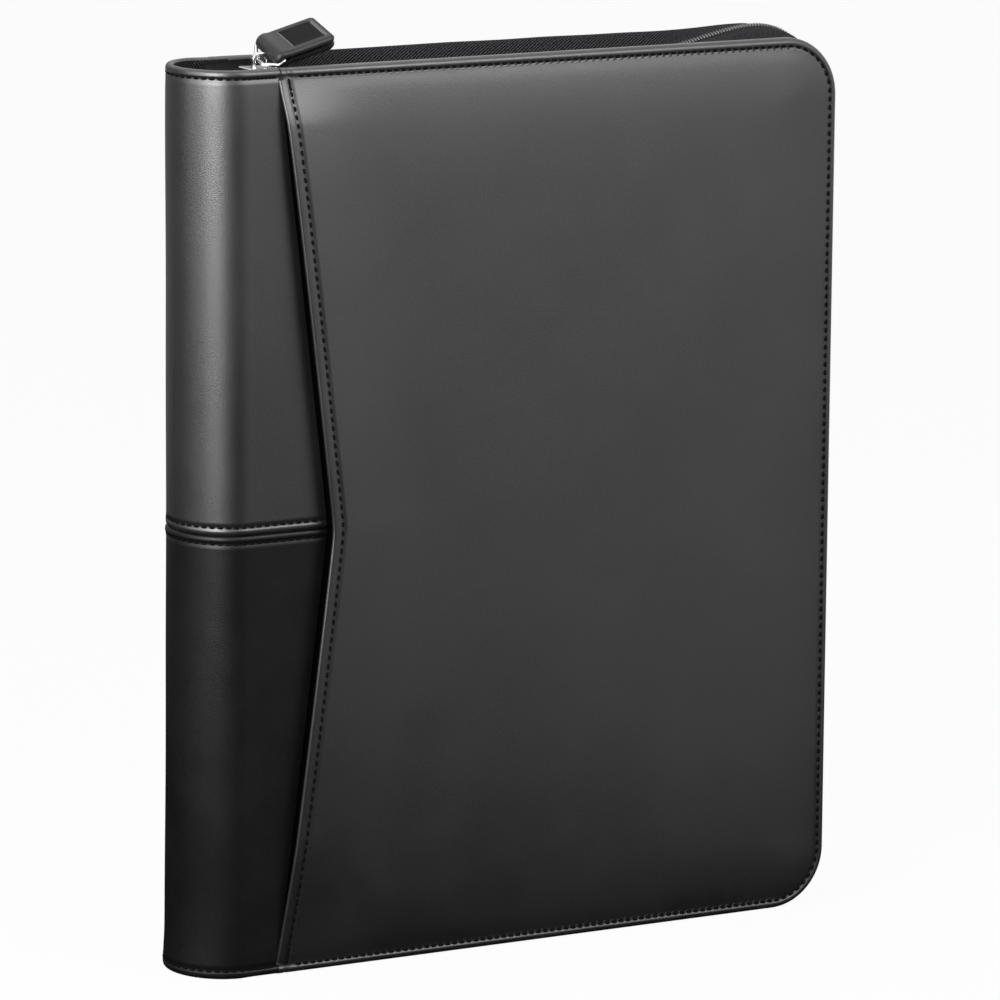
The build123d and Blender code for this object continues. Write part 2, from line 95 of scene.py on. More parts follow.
SLIDER_X = (SLIDER_LOW.x + SLIDER_HIGH.x) / 2
CHAIN_Z = (SLIDER_LOW.z + SLIDER_HIGH.z) / 2
ZIP_INSET = HEIGHT - CHAIN_Z
TAB_PIVOT = Vector(JOINT["tab_swing"]["pos_m"])


def measure(name, description, default, low, high):
    """A size that can be changed, given here in millimetres."""
    return FloatProperty(
        name=name, description=description, default=default * MM, min=low * MM, max=high * MM, unit="LENGTH")


def colour(name, description, value):
    """A colour that can be changed."""
    return FloatVectorProperty(
        name=name, description=description, default=value, size=3, min=0, max=1, subtype="COLOR")


class PadfolioSizes(bpy.types.PropertyGroup):
    """Sizes of the sewing, the zip and the folds"""

    corner: measure("Corner radius", "Radius of the covers' corners at the fore-edge", 22, 8, 60)
    edge_inset: measure("Edge inset", "Distance from a cover's edge to the stitches along it", 3.0, 1.5, 8)
    stitch_pitch: measure("Stitch pitch", "Distance from one needle hole to the next", 3.2, 2, 8)
    stitch_length: measure("Stitch length", "Length of thread that shows between two holes", 2.05, 1, 7)
    thread_width: measure("Thread width", "Width of the sewing thread", 1.2, 0.2, 2)
    leather: measure("Leather", "Thickness of the leather", 1.1, 0.5, 3)
    crown: measure("Crown", "How far the padded front falls away towards its edges", 2.1, 0, 5)
    back_crown: measure("Back crown", "How far the flat back falls away towards its edges", 0.3, 0, 1)
    mouth_end: measure("Mouth end", "Distance from the spine to the ends of the pocket's mouth", 31, 22, 80)
    mouth_tip: measure("Mouth tip", "Distance from the spine to the tip of the pocket's mouth", 51.2, 22, 120)
    mouth_gape: measure("Mouth gape", "How far the front pocket's mouth stands open halfway up", 4.2, 0, 8)
    back_lap: measure("Back lap", "Distance from the fold to the edge of the back panel", 6, 2, 20)
    coil_pitch: measure("Coil pitch", "Distance from one turn of the zip's coil to the next", 1.25, 0.8, 4)
    chain_bulge: measure("Chain bulge", "How far the zip stands out where it turns the top corner", 6.8, 0, 10)
    tape: measure("Tape", "Thickness of the zip's tape", 0.6, 0.3, 1.5)
    cloth: measure("Cloth", "Thickness of the lining and the inside pockets", 0.6, 0.3, 1.5)
    rule_pitch: measure("Rule pitch", "Distance between the lines on the paper", 7.1, 4, 12)
    lens: FloatProperty(
        name="Lens", description="Focal length of the camera, in millimetres",
        default=247.1, min=20, max=500, unit="CAMERA")
    thread_faces: IntProperty(
        name="Thread faces", description="Number of faces round each stitch",
        default=6, min=4, max=10)


class PadfolioColours(bpy.types.PropertyGroup):
    """Colours of the leather, cloth, zip and paper"""

    leather: colour("Leather", "Colour of the covers", (0.0085, 0.0085, 0.0088))
    lower_leather: colour(
        "Lower spine leather", "Colour of the leather below the spine seam", (0.0042, 0.0042, 0.0045))
    tab: colour("Tab leather", "Colour of the pull tab", (0.014, 0.014, 0.0146))
    # Black thread, set darker than the leather: its own colour, and painted shade of the groove it lies in.
    thread: colour("Thread", "Colour of the sewing thread", (0.0034, 0.0034, 0.0036))
    lining: colour("Lining", "Colour of the lining cloth", (0.0085, 0.0085, 0.009))
    organizer: colour("Inside pockets", "Colour of the pockets inside", (0.026, 0.026, 0.027))
    tape: colour("Zip tape", "Colour of the zip's tape", (0.0075, 0.0075, 0.008))
    coil: colour("Zip coil", "Colour of the zip's coil", (0.015, 0.015, 0.016))
    metal: colour("Zip metal", "Colour of the slider, ring and stops", (0.78, 0.78, 0.79))
    paper: colour("Paper", "Colour of the writing pad", (0.86, 0.85, 0.79))
    rule: colour("Paper rules", "Colour of the lines on the paper", (0.36, 0.5, 0.66))
    binding: colour("Binding", "Colour of the tape over the head of the pad", (0.03, 0.032, 0.04))
    elastic: colour("Elastic", "Colour of the pen loop", (0.014, 0.014, 0.015))
    board: colour("Board", "Colour of the boards inside the covers", (0.33, 0.3, 0.26))
    foam: colour("Foam", "Colour of the padding", (0.12, 0.12, 0.12))


# Small helpers

def lerp(a, b, t):
    return a + (b - a) * t


def ease(t):
    """0 up to nought and 1 from one on, with a soft start and end between them."""
    t = min(max(t, 0.0), 1.0)
    return t * t * (3 - 2 * t)


def hump(off, width):
    """1 where nothing is off, falling to almost 0 at twice the width."""
    return math.exp(-(off / width) ** 2)


def even_steps(low, high, step):
    """Values from low to high in an even number of equal steps of about the given size."""
    count = max(2, 2 * round(abs(high - low) / step / 2))
    return [lerp(low, high, k / count) for k in range(count + 1)]


def run_along(points):
    """Length of the way from the first point to each of them."""
    run = [0.0]
    for a, b in zip(points, points[1:]):
        run.append(run[-1] + (b - a).length)
    return run


def ripple(x, z, scale, seed):
    """Slow unevenness of hand-laid leather, from -1 to 1."""
    return noise.noise(Vector((x * scale, z * scale, seed)))


def stand(at, x, y, z):
    """Matrix that turns the axes to three directions and moves the origin to a point."""
    return Matrix.Translation(at) @ Matrix((x, y, z)).transposed().to_4x4()


SQUARE_REACH = 20 * MM


class Cut:
    """A flat cut of leather or cloth in X and Z: a grid whose two right corners can be round."""

    def __init__(self, left, right, low, high, corner, step, hem=()):
        self.left = left if callable(left) else lambda z: left
        self.low, self.high, self.corner, self.hem = low, high, corner, hem
        self.corner_x, self.right = right - corner, right
        turn = 2 * max(1, round(corner * math.pi / 4 / step)) if corner else 0
        foot = [low + corner * (1 - math.cos(k / turn * math.pi / 2)) for k in range(turn)]
        side = even_steps(low + corner, high - corner, step)
        self.rows = foot + side + [low + high - z for z in reversed(foot)]
        widest = right - min(self.left(low), self.left(high))
        self.columns = list(range(len(even_steps(0, widest, step))))

    def right_at(self, z):
        over = max(self.low + self.corner - z, z - self.high + self.corner, 0.0)
        return self.corner_x + math.sqrt(max(self.corner ** 2 - over ** 2, 0.0))

    def point(self, column, row):
        """X and Z of a grid point. The first columns keep their distance from a left edge that has a hem."""
        z = self.rows[row]
        left, right = self.left(z), self.right_at(z)
        if column < len(self.hem):
            return left + self.hem[column], z
        first, last = max(len(self.hem) - 1, 0), len(self.columns) - 1
        start = left + self.hem[first] if self.hem else left
        return lerp(start, right, (column - first) / (last - first)), z

    def outward(self, column, row, all_round=False):
        """Direction out of the cut's edge at a grid point of its border."""
        x, z = self.point(column, row)
        if self.corner:
            middle = min(max(z, self.low + self.corner), self.high - self.corner)
            way = Vector((max(x - self.corner_x, 0.0), 0, z - middle))
            if all_round and column == 0:
                at_end = row in (0, len(self.rows) - 1)
                return Vector((-1, 0, math.copysign(1, z - middle) if at_end else 0))
            return way.normalized()
        way = Vector((0, 0, 0))
        way.x = (column == len(self.columns) - 1) - (column == 0 and all_round)
        way.z = (row == len(self.rows) - 1) - (row == 0)
        return way

    def from_edge(self, x, z):
        """Distance from a point to the right, upper or lower edge, rounded off where two of them meet."""
        near = self.corner or SQUARE_REACH
        aside = self.right - near - x
        above = (self.high - self.low) / 2 - near - abs(z - (self.high + self.low) / 2)
        if aside > 0 and above > 0:
            return near + aside * above / (aside + above)
        return near - math.hypot(min(aside, 0.0), min(above, 0.0))


def laid_grid(columns, rows, place):
    """Grid whose point (column, row) is laid where place says. The border can be rolled over afterwards."""
    bm = bmesh.new()
    column, row = bm.verts.layers.int.new("column"), bm.verts.layers.int.new("row")
    bm.verts.layers.float.new("wear")
    bm.loops.layers.uv.new("cloth")
    wide, tall = columns - 1, rows - 1
    bmesh.ops.create_grid(bm, x_segments=wide, y_segments=tall, size=0.5)
    for v in bm.verts:
        v[column] = round((v.co.x + 0.5) * wide)
        v[row] = round((v.co.y + 0.5) * tall)
        v.co = place(v[column], v[row])
    return bm


def border(bm, test):
    """Border edges whose two ends pass a test of column and row."""
    column, row = bm.verts.layers.int["column"], bm.verts.layers.int["row"]
    return [e for e in bm.edges if e.is_boundary and all(test(v[column], v[row]) for v in e.verts)]


def roll_over(bm, edges, profile, place, wear=0.0):
    """Extrudes a border along a profile, one step after another, and lays each new point where place says."""
    column, row = bm.verts.layers.int["column"], bm.verts.layers.int["row"]
    worn = bm.verts.layers.float["wear"]
    for step, at in enumerate(profile):
        made = bmesh.ops.extrude_edge_only(bm, edges=edges)["geom"]
        verts = {g for g in made if isinstance(g, bmesh.types.BMVert)}
        edges = [g for g in made if isinstance(g, bmesh.types.BMEdge) and all(v in verts for v in g.verts)]
        share = wear * math.sin(math.pi * (step + 1) / (len(profile) + 1))
        for v in verts:
            v.co = place(v[column], v[row], at)
            v[worn] = share


def unwrap_along(bm, across, along):
    """Gives a laid grid a UV map in metres, from the length along each of its two directions."""
    column, row = bm.verts.layers.int["column"], bm.verts.layers.int["row"]
    uv = bm.loops.layers.uv["cloth"]
    for face in bm.faces:
        for loop in face.loops:
            loop[uv].uv = across[loop.vert[column]], along[loop.vert[row]]


def to_mesh(bm, name):
    """Writes a bmesh to a new mesh and frees it."""
    mesh = bpy.data.meshes.new(name)
    bm.to_mesh(mesh)
    bm.free()
    return mesh


def add_object(name, data):
    held = bpy.data.objects.new(name, data)
    bpy.context.scene.collection.objects.link(held)
    return held


def add_copy(bm, shape, place):
    """Adds one copy of a small mesh, turned and moved by a matrix."""
    one = shape.copy()
    one.transform(place)
    bm.from_mesh(one)
    bpy.data.meshes.remove(one)


def round_edges(bm, edges, width, segments):
    bmesh.ops.bevel(
        bm, geom=edges, offset=width, offset_type="OFFSET", segments=segments, profile=0.5, affect="EDGES",
        material=-1)


def add_piece(bm, name, material, wall=0.0, inside_out=False):
    """Makes an object of a bmesh, with its thickness inwards for a sheet. Returns it and its area."""
    bmesh.ops.remove_doubles(bm, verts=bm.verts, dist=1e-6)
    if inside_out:
        bmesh.ops.reverse_faces(bm, faces=bm.faces)
    bm.normal_update()
    for edge in bm.edges:
        edge.smooth = not edge.is_boundary
    area = sum(face.calc_area() for face in bm.faces)
    mesh = to_mesh(bm, name)
    mesh.shade_smooth()
    mesh.materials.append(material)
    piece = add_object(name, mesh)
    if wall:
        layer = piece.modifiers.new("Thickness", "SOLIDIFY")
        layer.thickness = wall
        layer.offset = -1
    return piece, area


def declare_sheet(piece, area, width, length):
    """Works out the smaller of a piece's area and the size of its flat cut, and keeps neither."""
    min(area, width * length)


FOLD_REACH = 4 * MM


def bend(piece, side):
    """Leather and cloth turn at a fold: the front one where side is -1, and the back one where it is 1."""
    near, far = FOLD_X - FOLD_REACH, FOLD_X + FOLD_REACH
    if side < 0:
        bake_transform(piece, "spine", "front_cover", start=(near, WRAP_Y, 0), end=(far, WRAP_Y, 0))
    else:
        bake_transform(piece, "back_cover", "spine", start=(far, BACK_Y, 0), end=(near, BACK_Y, 0))


# Materials

def fill(tree, node, values):
    """Links the values that are sockets to a node's inputs, and sets the others on them."""
    for name, value in values.items():
        if isinstance(value, bpy.types.NodeSocket):
            tree.links.new(value, node.inputs[name])
        else:
            node.inputs[name].default_value = value


def new_node(tree, kind, values=None, **settings):
    """Adds a node with its settings and the values of its inputs."""
    node = tree.nodes.new(kind)
    for name, value in settings.items():
        setattr(node, name, value)
    fill(tree, node, values or {})
    return node


def maths(tree, operation, *values):
    return new_node(tree, "ShaderNodeMath", dict(enumerate(values)), operation=operation).outputs[0]


def fade(tree, value, low, high, to_low=0.0, to_high=1.0):
    spread = {"Value": value, "From Min": low, "From Max": high, "To Min": to_low, "To Max": to_high}
    return new_node(tree, "ShaderNodeMapRange", spread, interpolation_type="SMOOTHSTEP").outputs["Result"]


def tint(tree, amount, first, second):
    """Mix of two colours by an amount."""
    node = new_node(tree, "ShaderNodeMix", data_type="RGBA")
    number = {socket.identifier: k for k, socket in enumerate(node.inputs)}
    fill(tree, node, {number["Factor_Float"]: amount, number["A_Color"]: first, number["B_Color"]: second})
    return next(o for o in node.outputs if o.identifier == "Result_Color")


def cloud(tree, at, scale, detail, rough=0.5):
    values = {"Vector": at, "Scale": scale, "Detail": detail, "Roughness": rough}
    return new_node(tree, "ShaderNodeTexNoise", values)


def object_space(tree):
    return new_node(tree, "ShaderNodeTexCoord").outputs["Object"]


def shared_group(name, inputs, outputs):
    """New shader node group. An input with a value is a number and one without is a vector, and the outputs
    are numbers. Returns the group, what its input node gives and its output node."""
    group = bpy.data.node_groups.new(name, "ShaderNodeTree")
    for label, value in inputs.items():
        kind = "NodeSocketVector" if value is None else "NodeSocketFloat"
        socket = group.interface.new_socket(label, in_out="INPUT", socket_type=kind)
        if value is not None:
            socket.default_value = value
    for label in outputs:
        group.interface.new_socket(label, in_out="OUTPUT", socket_type="NodeSocketFloat")
    return group, group.nodes.new("NodeGroupInput").outputs, group.nodes.new("NodeGroupOutput")


def grain_group():
    """Leather grain: small flat pebbles with fine creases between them, and slow changes of tone."""
    if "Leather grain" in bpy.data.node_groups:
        return bpy.data.node_groups["Leather grain"]
    group, given, out = shared_group(
        "Leather grain", {"Vector": None, "Pebbles": 1300.0, "Mottle": 26.0}, ("Height", "Tone", "Creases"))
    warp = cloud(group, given["Vector"], 420.0, 2.0)
    scaled = {0: warp.outputs["Color"], 1: (0.0009, 0.0009, 0.0009)}
    shift = new_node(group, "ShaderNodeVectorMath", scaled, operation="MULTIPLY")
    at = new_node(group, "ShaderNodeVectorMath", {0: given["Vector"], 1: shift.outputs[0]}, operation="ADD")
    cells = new_node(
        group, "ShaderNodeTexVoronoi", {"Vector": at.outputs[0], "Scale": given["Pebbles"]},
        feature="DISTANCE_TO_EDGE")
    crease = fade(group, cells.outputs["Distance"], 0.0, 0.22)
    pores = maths(group, "MULTIPLY", cloud(group, given["Vector"], 2600.0, 3.0).outputs["Fac"], 0.25)
    mottle = cloud(group, given["Vector"], given["Mottle"], 5.0, 0.6).outputs["Fac"]
    fill(group, out, {
        "Height": maths(group, "ADD", maths(group, "MULTIPLY", crease, 0.75), pores),
        "Tone": fade(group, mottle, 0.3, 0.7),
        "Creases": maths(group, "SUBTRACT", 1.0, crease),
    })
    return group


def wear_group():
    """Edge wear: rubbed patches where a piece says that it is worn."""
    if "Edge wear" in bpy.data.node_groups:
        return bpy.data.node_groups["Edge wear"]
    group, given, out = shared_group("Edge wear", {"Vector": None, "Wear": 0.0}, ("Rubbed",))
    spots = fade(group, cloud(group, given["Vector"], 120.0, 6.0).outputs["Fac"], 0.36, 0.68)
    fill(group, out, {"Rubbed": maths(group, "MULTIPLY", spots, given["Wear"])})
    return group


def weave_group():
    """Woven threads: diagonal ribs, as in twill, crossed by single threads and roughened by fuzz."""
    if "Weave" in bpy.data.node_groups:
        return bpy.data.node_groups["Weave"]
    group, given, out = shared_group(
        "Weave", {"Vector": None, "Threads": 1400.0, "Slant": 1.0}, ("Height", "Shade"))
    parts = new_node(group, "ShaderNodeSeparateXYZ", {"Vector": given["Vector"]})
    turn = maths(group, "MULTIPLY", given["Threads"], 2 * math.pi)
    u = maths(group, "MULTIPLY", parts.outputs["X"], turn)
    v = maths(group, "MULTIPLY", parts.outputs["Y"], turn)
    slanted = maths(group, "ADD", u, maths(group, "MULTIPLY", v, given["Slant"]))
    rib = maths(group, "SINE", maths(group, "MULTIPLY", slanted, 0.5))
    thread = maths(group, "MULTIPLY", maths(group, "SINE", u), maths(group, "SINE", v))
    mixed = maths(group, "ADD", maths(group, "MULTIPLY", rib, 0.32), maths(group, "MULTIPLY", thread, 0.18))
    # The fuzz also sets light specks in a cloth's colour; on the zip tape these stand partly for painted glints.
    fuzz = maths(group, "MULTIPLY", cloud(group, given["Vector"], 1500.0, 2.0).outputs["Fac"], 1.5)
    height = maths(group, "ADD", maths(group, "SUBTRACT", mixed, 0.2), fuzz)
    fill(group, out, {"Height": height, "Shade": fade(group, height, 0.25, 0.95)})
    return group


def rgba(value, lighter=1.0):
    return (*(min(1.0, c * lighter) for c in value), 1.0)


def blank_material(name):
    """A material, its node tree and its Principled BSDF. The last two are None where it was made already."""
    if name in bpy.data.materials:
        return bpy.data.materials[name], None, None
    made = bpy.data.materials.new(name)
    made.use_nodes = True
    return made, made.node_tree, made.node_tree.nodes["Principled BSDF"]


def place_group(tree, group, values):
    return new_node(tree, "ShaderNodeGroup", values, node_tree=group)


def bump(tree, shader, height, strength, distance):
    made = new_node(tree, "ShaderNodeBump", {"Height": height, "Strength": strength, "Distance": distance})
    tree.links.new(made.outputs["Normal"], shader.inputs["Normal"])


def leather_material(name, base, smooth, rough, shine, pebbles=1300.0):
    """Satin leather: fine grain, a slow mottle in tone and gloss, and rubbed rolled edges."""
    made, tree, shader = blank_material(name)
    if tree is None:
        return made
    at = object_space(tree)
    grain = place_group(tree, grain_group(), {"Vector": at, "Pebbles": pebbles}).outputs
    worn = new_node(tree, "ShaderNodeAttribute", attribute_name="wear").outputs["Fac"]
    rubbed = place_group(tree, wear_group(), {"Vector": at, "Wear": worn}).outputs["Rubbed"]
    toned = tint(tree, grain["Tone"], rgba(base, 0.82), rgba(base, 1.2))
    creased = tint(tree, grain["Creases"], toned, rgba(base, 0.6))
    gloss = fade(tree, grain["Tone"], 0.0, 1.0, smooth, rough)
    fill(tree, shader, {
        "Base Color": tint(tree, rubbed, creased, rgba(base, 1.9)),
        "Roughness": maths(tree, "SUBTRACT", gloss, maths(tree, "MULTIPLY", rubbed, 0.05)),
        "Specular IOR Level": shine,
    })
    bump(tree, shader, grain["Height"], 0.22, 0.0001)
    return made


def cloth_material(name, base, threads, slant, on_uv=False, sheen=0.15, rough=0.85, contrast=1.65, shine=0.3):
    """Woven cloth, with its threads along the cut."""
    made, tree, shader = blank_material(name)
    if tree is None:
        return made
    coordinates = new_node(tree, "ShaderNodeTexCoord")
    at = coordinates.outputs["UV"]
    if not on_uv:
        parts = new_node(tree, "ShaderNodeSeparateXYZ", {"Vector": coordinates.outputs["Object"]}).outputs
        at = new_node(tree, "ShaderNodeCombineXYZ", {"X": parts["X"], "Y": parts["Z"]}).outputs[0]
    weave = place_group(tree, weave_group(), {"Vector": at, "Threads": threads, "Slant": slant}).outputs
    fill(tree, shader, {
        "Base Color": tint(tree, weave["Shade"], rgba(base, 1 / contrast), rgba(base, contrast)),
        "Roughness": fade(tree, weave["Shade"], 0.0, 1.0, rough + 0.08, rough - 0.08),
        "Sheen Weight": sheen,
        "Sheen Roughness": 0.5,
        "Specular IOR Level": shine,
    })
    bump(tree, shader, weave["Height"], 0.5, 0.0002)
    return made


def thread_material(name, base):
    """Twisted sewing thread with a little wax on it."""
    made, tree, shader = blank_material(name)
    if tree is None:
        return made
    waves = {"Vector": object_space(tree), "Scale": 900.0, "Distortion": 3.0}
    twist = new_node(tree, "ShaderNodeTexWave", waves, bands_direction="DIAGONAL").outputs["Fac"]
    fill(tree, shader, {
        "Base Color": tint(tree, twist, rgba(base, 0.6), rgba(base, 1.6)),
        "Roughness": fade(tree, twist, 0.0, 1.0, 0.75, 0.6),
        "Specular IOR Level": 0.06,
    })
    bump(tree, shader, twist, 0.5, 0.00008)
    return made


def metal_material(name, base):
    """Bright plated zinc with fine scratches and a few dull spots."""
    made, tree, shader = blank_material(name)
    if tree is None:
        return made
    at = object_space(tree)
    dull = cloud(tree, at, 260.0, 4.0).outputs["Fac"]
    stretch = new_node(tree, "ShaderNodeMapping", {"Vector": at, "Scale": (300.0, 2600.0, 2600.0)})
    scratches = cloud(tree, stretch.outputs["Vector"], 1.0, 2.0).outputs["Fac"]
    fill(tree, shader, {
        "Base Color": tint(tree, dull, rgba(base, 0.86), rgba(base, 1.06)),
        "Roughness": fade(tree, dull, 0.3, 0.75, 0.13, 0.26),
        "Metallic": 1.0,
    })
    bump(tree, shader, scratches, 0.12, 0.00004)
    return made


def nylon_material(name, base):
    """Drawn nylon, slightly shiny, with small changes of gloss from turn to turn."""
    made, tree, shader = blank_material(name)
    if tree is None:
        return made
    spots = cloud(tree, object_space(tree), 700.0, 3.0).outputs["Fac"]
    fill(tree, shader, {
        "Base Color": tint(tree, spots, rgba(base, 0.7), rgba(base, 1.5)),
        "Roughness": fade(tree, spots, 0.3, 0.7, 0.16, 0.3),
        "Specular IOR Level": 0.9,
        "Coat Weight": 0.7,
        "Coat Roughness": 0.12,
    })
    bump(tree, shader, spots, 0.15, 0.00005)
    return made


RULE_HALF, MARGIN_HALF, SHEET_PITCH = 0.00014, 0.00016, 0.00021
MARGIN_RED = (0.7, 0.28, 0.28, 1.0)


def paper_material(name, base, rule, pitch, top, foot, margin):
    """Ruled writing paper: pale lines across, a margin line, and the edges of the sheets down its sides, with
    painted shade in the gaps between them.
    """
    made, tree, shader = blank_material(name)
    if tree is None:
        return made
    at = object_space(tree)
    parts = new_node(tree, "ShaderNodeSeparateXYZ", {"Vector": at})
    x, y, z = (parts.outputs[axis] for axis in "XYZ")
    down = maths(tree, "SUBTRACT", top, z)
    line = maths(tree, "LESS_THAN", maths(tree, "PINGPONG", down, pitch / 2), RULE_HALF)
    line = maths(tree, "MULTIPLY", line, maths(tree, "GREATER_THAN", down, pitch * 0.6))
    line = maths(tree, "MULTIPLY", line, maths(tree, "GREATER_THAN", z, foot))
    from_margin = maths(tree, "ABSOLUTE", maths(tree, "SUBTRACT", x, margin))
    edge_line = maths(tree, "MULTIPLY", maths(tree, "LESS_THAN", from_margin, MARGIN_HALF), 0.7)
    sheets = maths(tree, "SINE", maths(tree, "MULTIPLY", y, 2 * math.pi / SHEET_PITCH))
    fibre = cloud(tree, at, 900.0, 5.0).outputs["Fac"]
    page = tint(tree, fibre, rgba(base, 0.94), rgba(base, 1.04))
    # Painted shade: the paper darkens a little in the gaps between the sheets.
    page = tint(tree, maths(tree, "MULTIPLY", maths(tree, "ADD", sheets, 1.0), 0.04), page, rgba(base, 0.55))
    ruled = tint(tree, maths(tree, "MULTIPLY", line, 0.75), page, rgba(rule))
    fill(tree, shader, {
        "Base Color": tint(tree, edge_line, ruled, MARGIN_RED),
        "Roughness": fade(tree, fibre, 0.3, 0.7, 0.78, 0.9),
    })
    bump(tree, shader, maths(tree, "ADD", fibre, maths(tree, "MULTIPLY", sheets, 0.6)), 0.18, 0.00006)
    return made


def speckled_material(name, base, scale, rough, strength):
    """Pressed board or foam: a speckle of fibres or cells."""
    made, tree, shader = blank_material(name)
    if tree is None:
        return made
    at = object_space(tree)
    flecks = cloud(tree, at, scale, 6.0, 0.7).outputs["Fac"]
    cells = new_node(tree, "ShaderNodeTexVoronoi", {"Vector": at, "Scale": scale * 1.7})
    fill(tree, shader, {
        "Base Color": tint(tree, flecks, rgba(base, 0.7), rgba(base, 1.25)),
        "Roughness": fade(tree, flecks, 0.2, 0.8, rough - 0.07, rough + 0.07),
    })
    bump(tree, shader, cells.outputs["Distance"], strength, 0.0002)
    return made


def colours():
    return bpy.context.scene.padfolio_colours


def black_leather():
    return leather_material("Black leather", colours().leather, 0.355, 0.395, 1.0)


def lower_leather():
    return leather_material("Black leather, lower spine", colours().lower_leather, 0.4, 0.47, 0.3)


def sewing_thread():
    return thread_material("Sewing thread", colours().thread)


def lining_cloth():
    return cloth_material(
        "Lining cloth", colours().lining, 1900.0, 0.6, sheen=0.02, contrast=6.0, shine=0.03)


def pocket_cloth_painted_shade():
    # Painted shade: the cloth inside the front pocket is the lining's colour darkened to three tenths, so that the
    # gape of its mouth looks dark.
    dark = rgba(colours().lining, 0.3)[:3]
    return cloth_material("Front pocket cloth", dark, 1500.0, 0.0, sheen=0.0, rough=0.9, shine=0.02)


def pocket_leatherette():
    return leather_material("Inside pocket leatherette", colours().organizer, 0.5, 0.6, 0.4, 1700.0)


def zip_metal():
    return metal_material("Plated zip metal", colours().metal)


def dress_node(node, material):
    """Gives a solid that stays in view, or that lies inside, its finish."""
    piece = frame["nodes"][node]
    if not piece.material_slots:
        piece.data.materials.append(material)
    for held in piece.material_slots:
        held.material = material


# Stitches

STITCH_FLAT, STITCH_ENDS, STITCH_BELLY = 0.9, 1.12, 0.9


def stitch_shape(s):
    """One stitch: a short, slightly flattened bulge of thread along X."""
    bm = bmesh.new()
    bmesh.ops.create_uvsphere(bm, u_segments=s.thread_faces, v_segments=5, radius=0.5)
    bmesh.ops.rotate(bm, verts=bm.verts, matrix=Matrix.Rotation(math.pi / 2, 3, "Y"))
    bmesh.ops.scale(bm, verts=bm.verts, vec=(s.stitch_length, s.thread_width, s.thread_width * STITCH_FLAT))
    for v in bm.verts:
        full = 1 - (2 * v.co.x / s.stitch_length) ** 2
        if full <= STITCH_BELLY:
            v.co.y *= STITCH_ENDS
            v.co.z *= STITCH_ENDS
    return to_mesh(bm, "stitch")


def sew(bm, shape, centre, along, out):
    """Lays one stitch at a point, along a direction, on a surface that faces out."""
    along = along.normalized()
    side = out.cross(along).normalized()
    add_copy(bm, shape, stand(centre, along, side, along.cross(side)))


def sew_line(bm, shape, points, out, sink=0.0):
    """Sews along points half a pitch apart: needle holes at the even ones, thread over the odd ones."""
    for k in range(1, len(points) - 1, 2):
        facing = out(k) if callable(out) else out
        sew(bm, shape, points[k] - facing * sink, points[k + 1] - points[k - 1], facing)


# Cover leather. A profile's steps are pairs of reach and depth in millimetres.

ROLL = [
    (0.0, 0.62), (0.55, 0.12), (1.05, 0.0), (1.7, 0.08), (2.3, 0.45), (2.72, 1.1), (2.95, 1.9), (3.0, 2.8),
    (3.0, -2.8), (2.9, -1.8), (2.45, -0.9), (1.7, -0.3), (0.6, 0.0), (-3.0, 0.0), (-6.5, -0.2), (-8.0, -0.7),
]
PAST_CREST = 8
FULL_ROLL = 6.4 * MM
PUCKER = 0.95 * MM
HEM = tuple(d * MM for d in (0, 1.1, 2.1, 3.0, 3.9, 5.2))
HEM_STITCH = 3
EDGE_HOLE = 0.3 * MM
TURN_IN = 14 * MM

# How deep the leather lies at a hem's stitches, and beside the holes and the threads of the edges and the hem
HEM_DIP, HEM_HOLE, HEM_END_DIP = 0.55 * MM, 0.25 * MM, 0.7 * MM
EDGE_PUCKER = (-0.1 * MM, 0.05 * MM)
HEM_PUCKER = (-0.08 * MM, 0.04 * MM)

# How the padding falls away to the edges, and its slow waves
CROWN_REACH = 14 * MM
EDGE_PINCH, PINCH_REACH = 0.12 * MM, 3 * MM
WAVE_HEIGHT, WAVES_A_METRE, WAVE_START = 0.14 * MM, 13, 20 * MM
FRONT_SEED, BACK_SEED = 3.1, 8.4

# The front pocket's mouth: its round tip, its ends that are sewn down, and how far into the panel it lifts
MOUTH_ROUND, MOUTH_PAST_END = 3 * MM, 1.05
MOUTH_SEWN, FOOT_FADE, HEAD_FADE = 3 * MM, 50 * MM, 18 * MM
GAPE_FULLNESS, GAPE_REACH = 0.4, 22 * MM

# The top edge of the back falls this far, from a little past the fold and near the top
BACK_FALL = 0.75 * MM
FALL_START, FALL_WIDE, FALL_FROM_TOP, FALL_TALL = 8 * MM, 60 * MM, 60 * MM, 57 * MM


def rolled(at, thick, sunk, hole):
    """Reach and depth of a step of the rolled edge. Its first step is the stitch line, and the steps past the
    crest are measured from the inner face."""
    step = ROLL.index(at)
    if step:
        deep = at[1] * MM * min(thick / FULL_ROLL, 1.0)
    else:
        deep = at[1] * MM + (EDGE_HOLE if hole else 0.0)
    low = thick + deep if step >= PAST_CREST else deep
    return PUCKER + at[0] * MM, low + sunk * (1 - ease(low / thick))


def mouth_x(s, z):
    """X of the front pocket's mouth at a height: a shallow chevron whose tip meets the spine seam."""
    span = HEIGHT - SEAM_Z if z > SEAM_Z else SEAM_Z
    off = math.hypot(z - SEAM_Z, MOUTH_ROUND) - MOUTH_ROUND
    return SPINE_X + lerp(s.mouth_tip, s.mouth_end, min(off / span, MOUTH_PAST_END))


def cover_cut(s, left):
    """A cover's cut from its left edge to the stitches along the other three."""
    inset = s.edge_inset + PUCKER
    return Cut(left, FORE_X - inset, inset, HEIGHT - inset, s.corner - inset, s.stitch_pitch / 2, hem=HEM)


def pocket_cut(s):
    return cover_cut(s, lambda z: mouth_x(s, z))


def back_cut(s):
    return cover_cut(s, FOLD_X + s.back_lap)


def border_step(cut, column, row):
    """Number of a border point along its side, for telling needle holes from the thread between them."""
    return row if column == len(cut.columns) - 1 else column


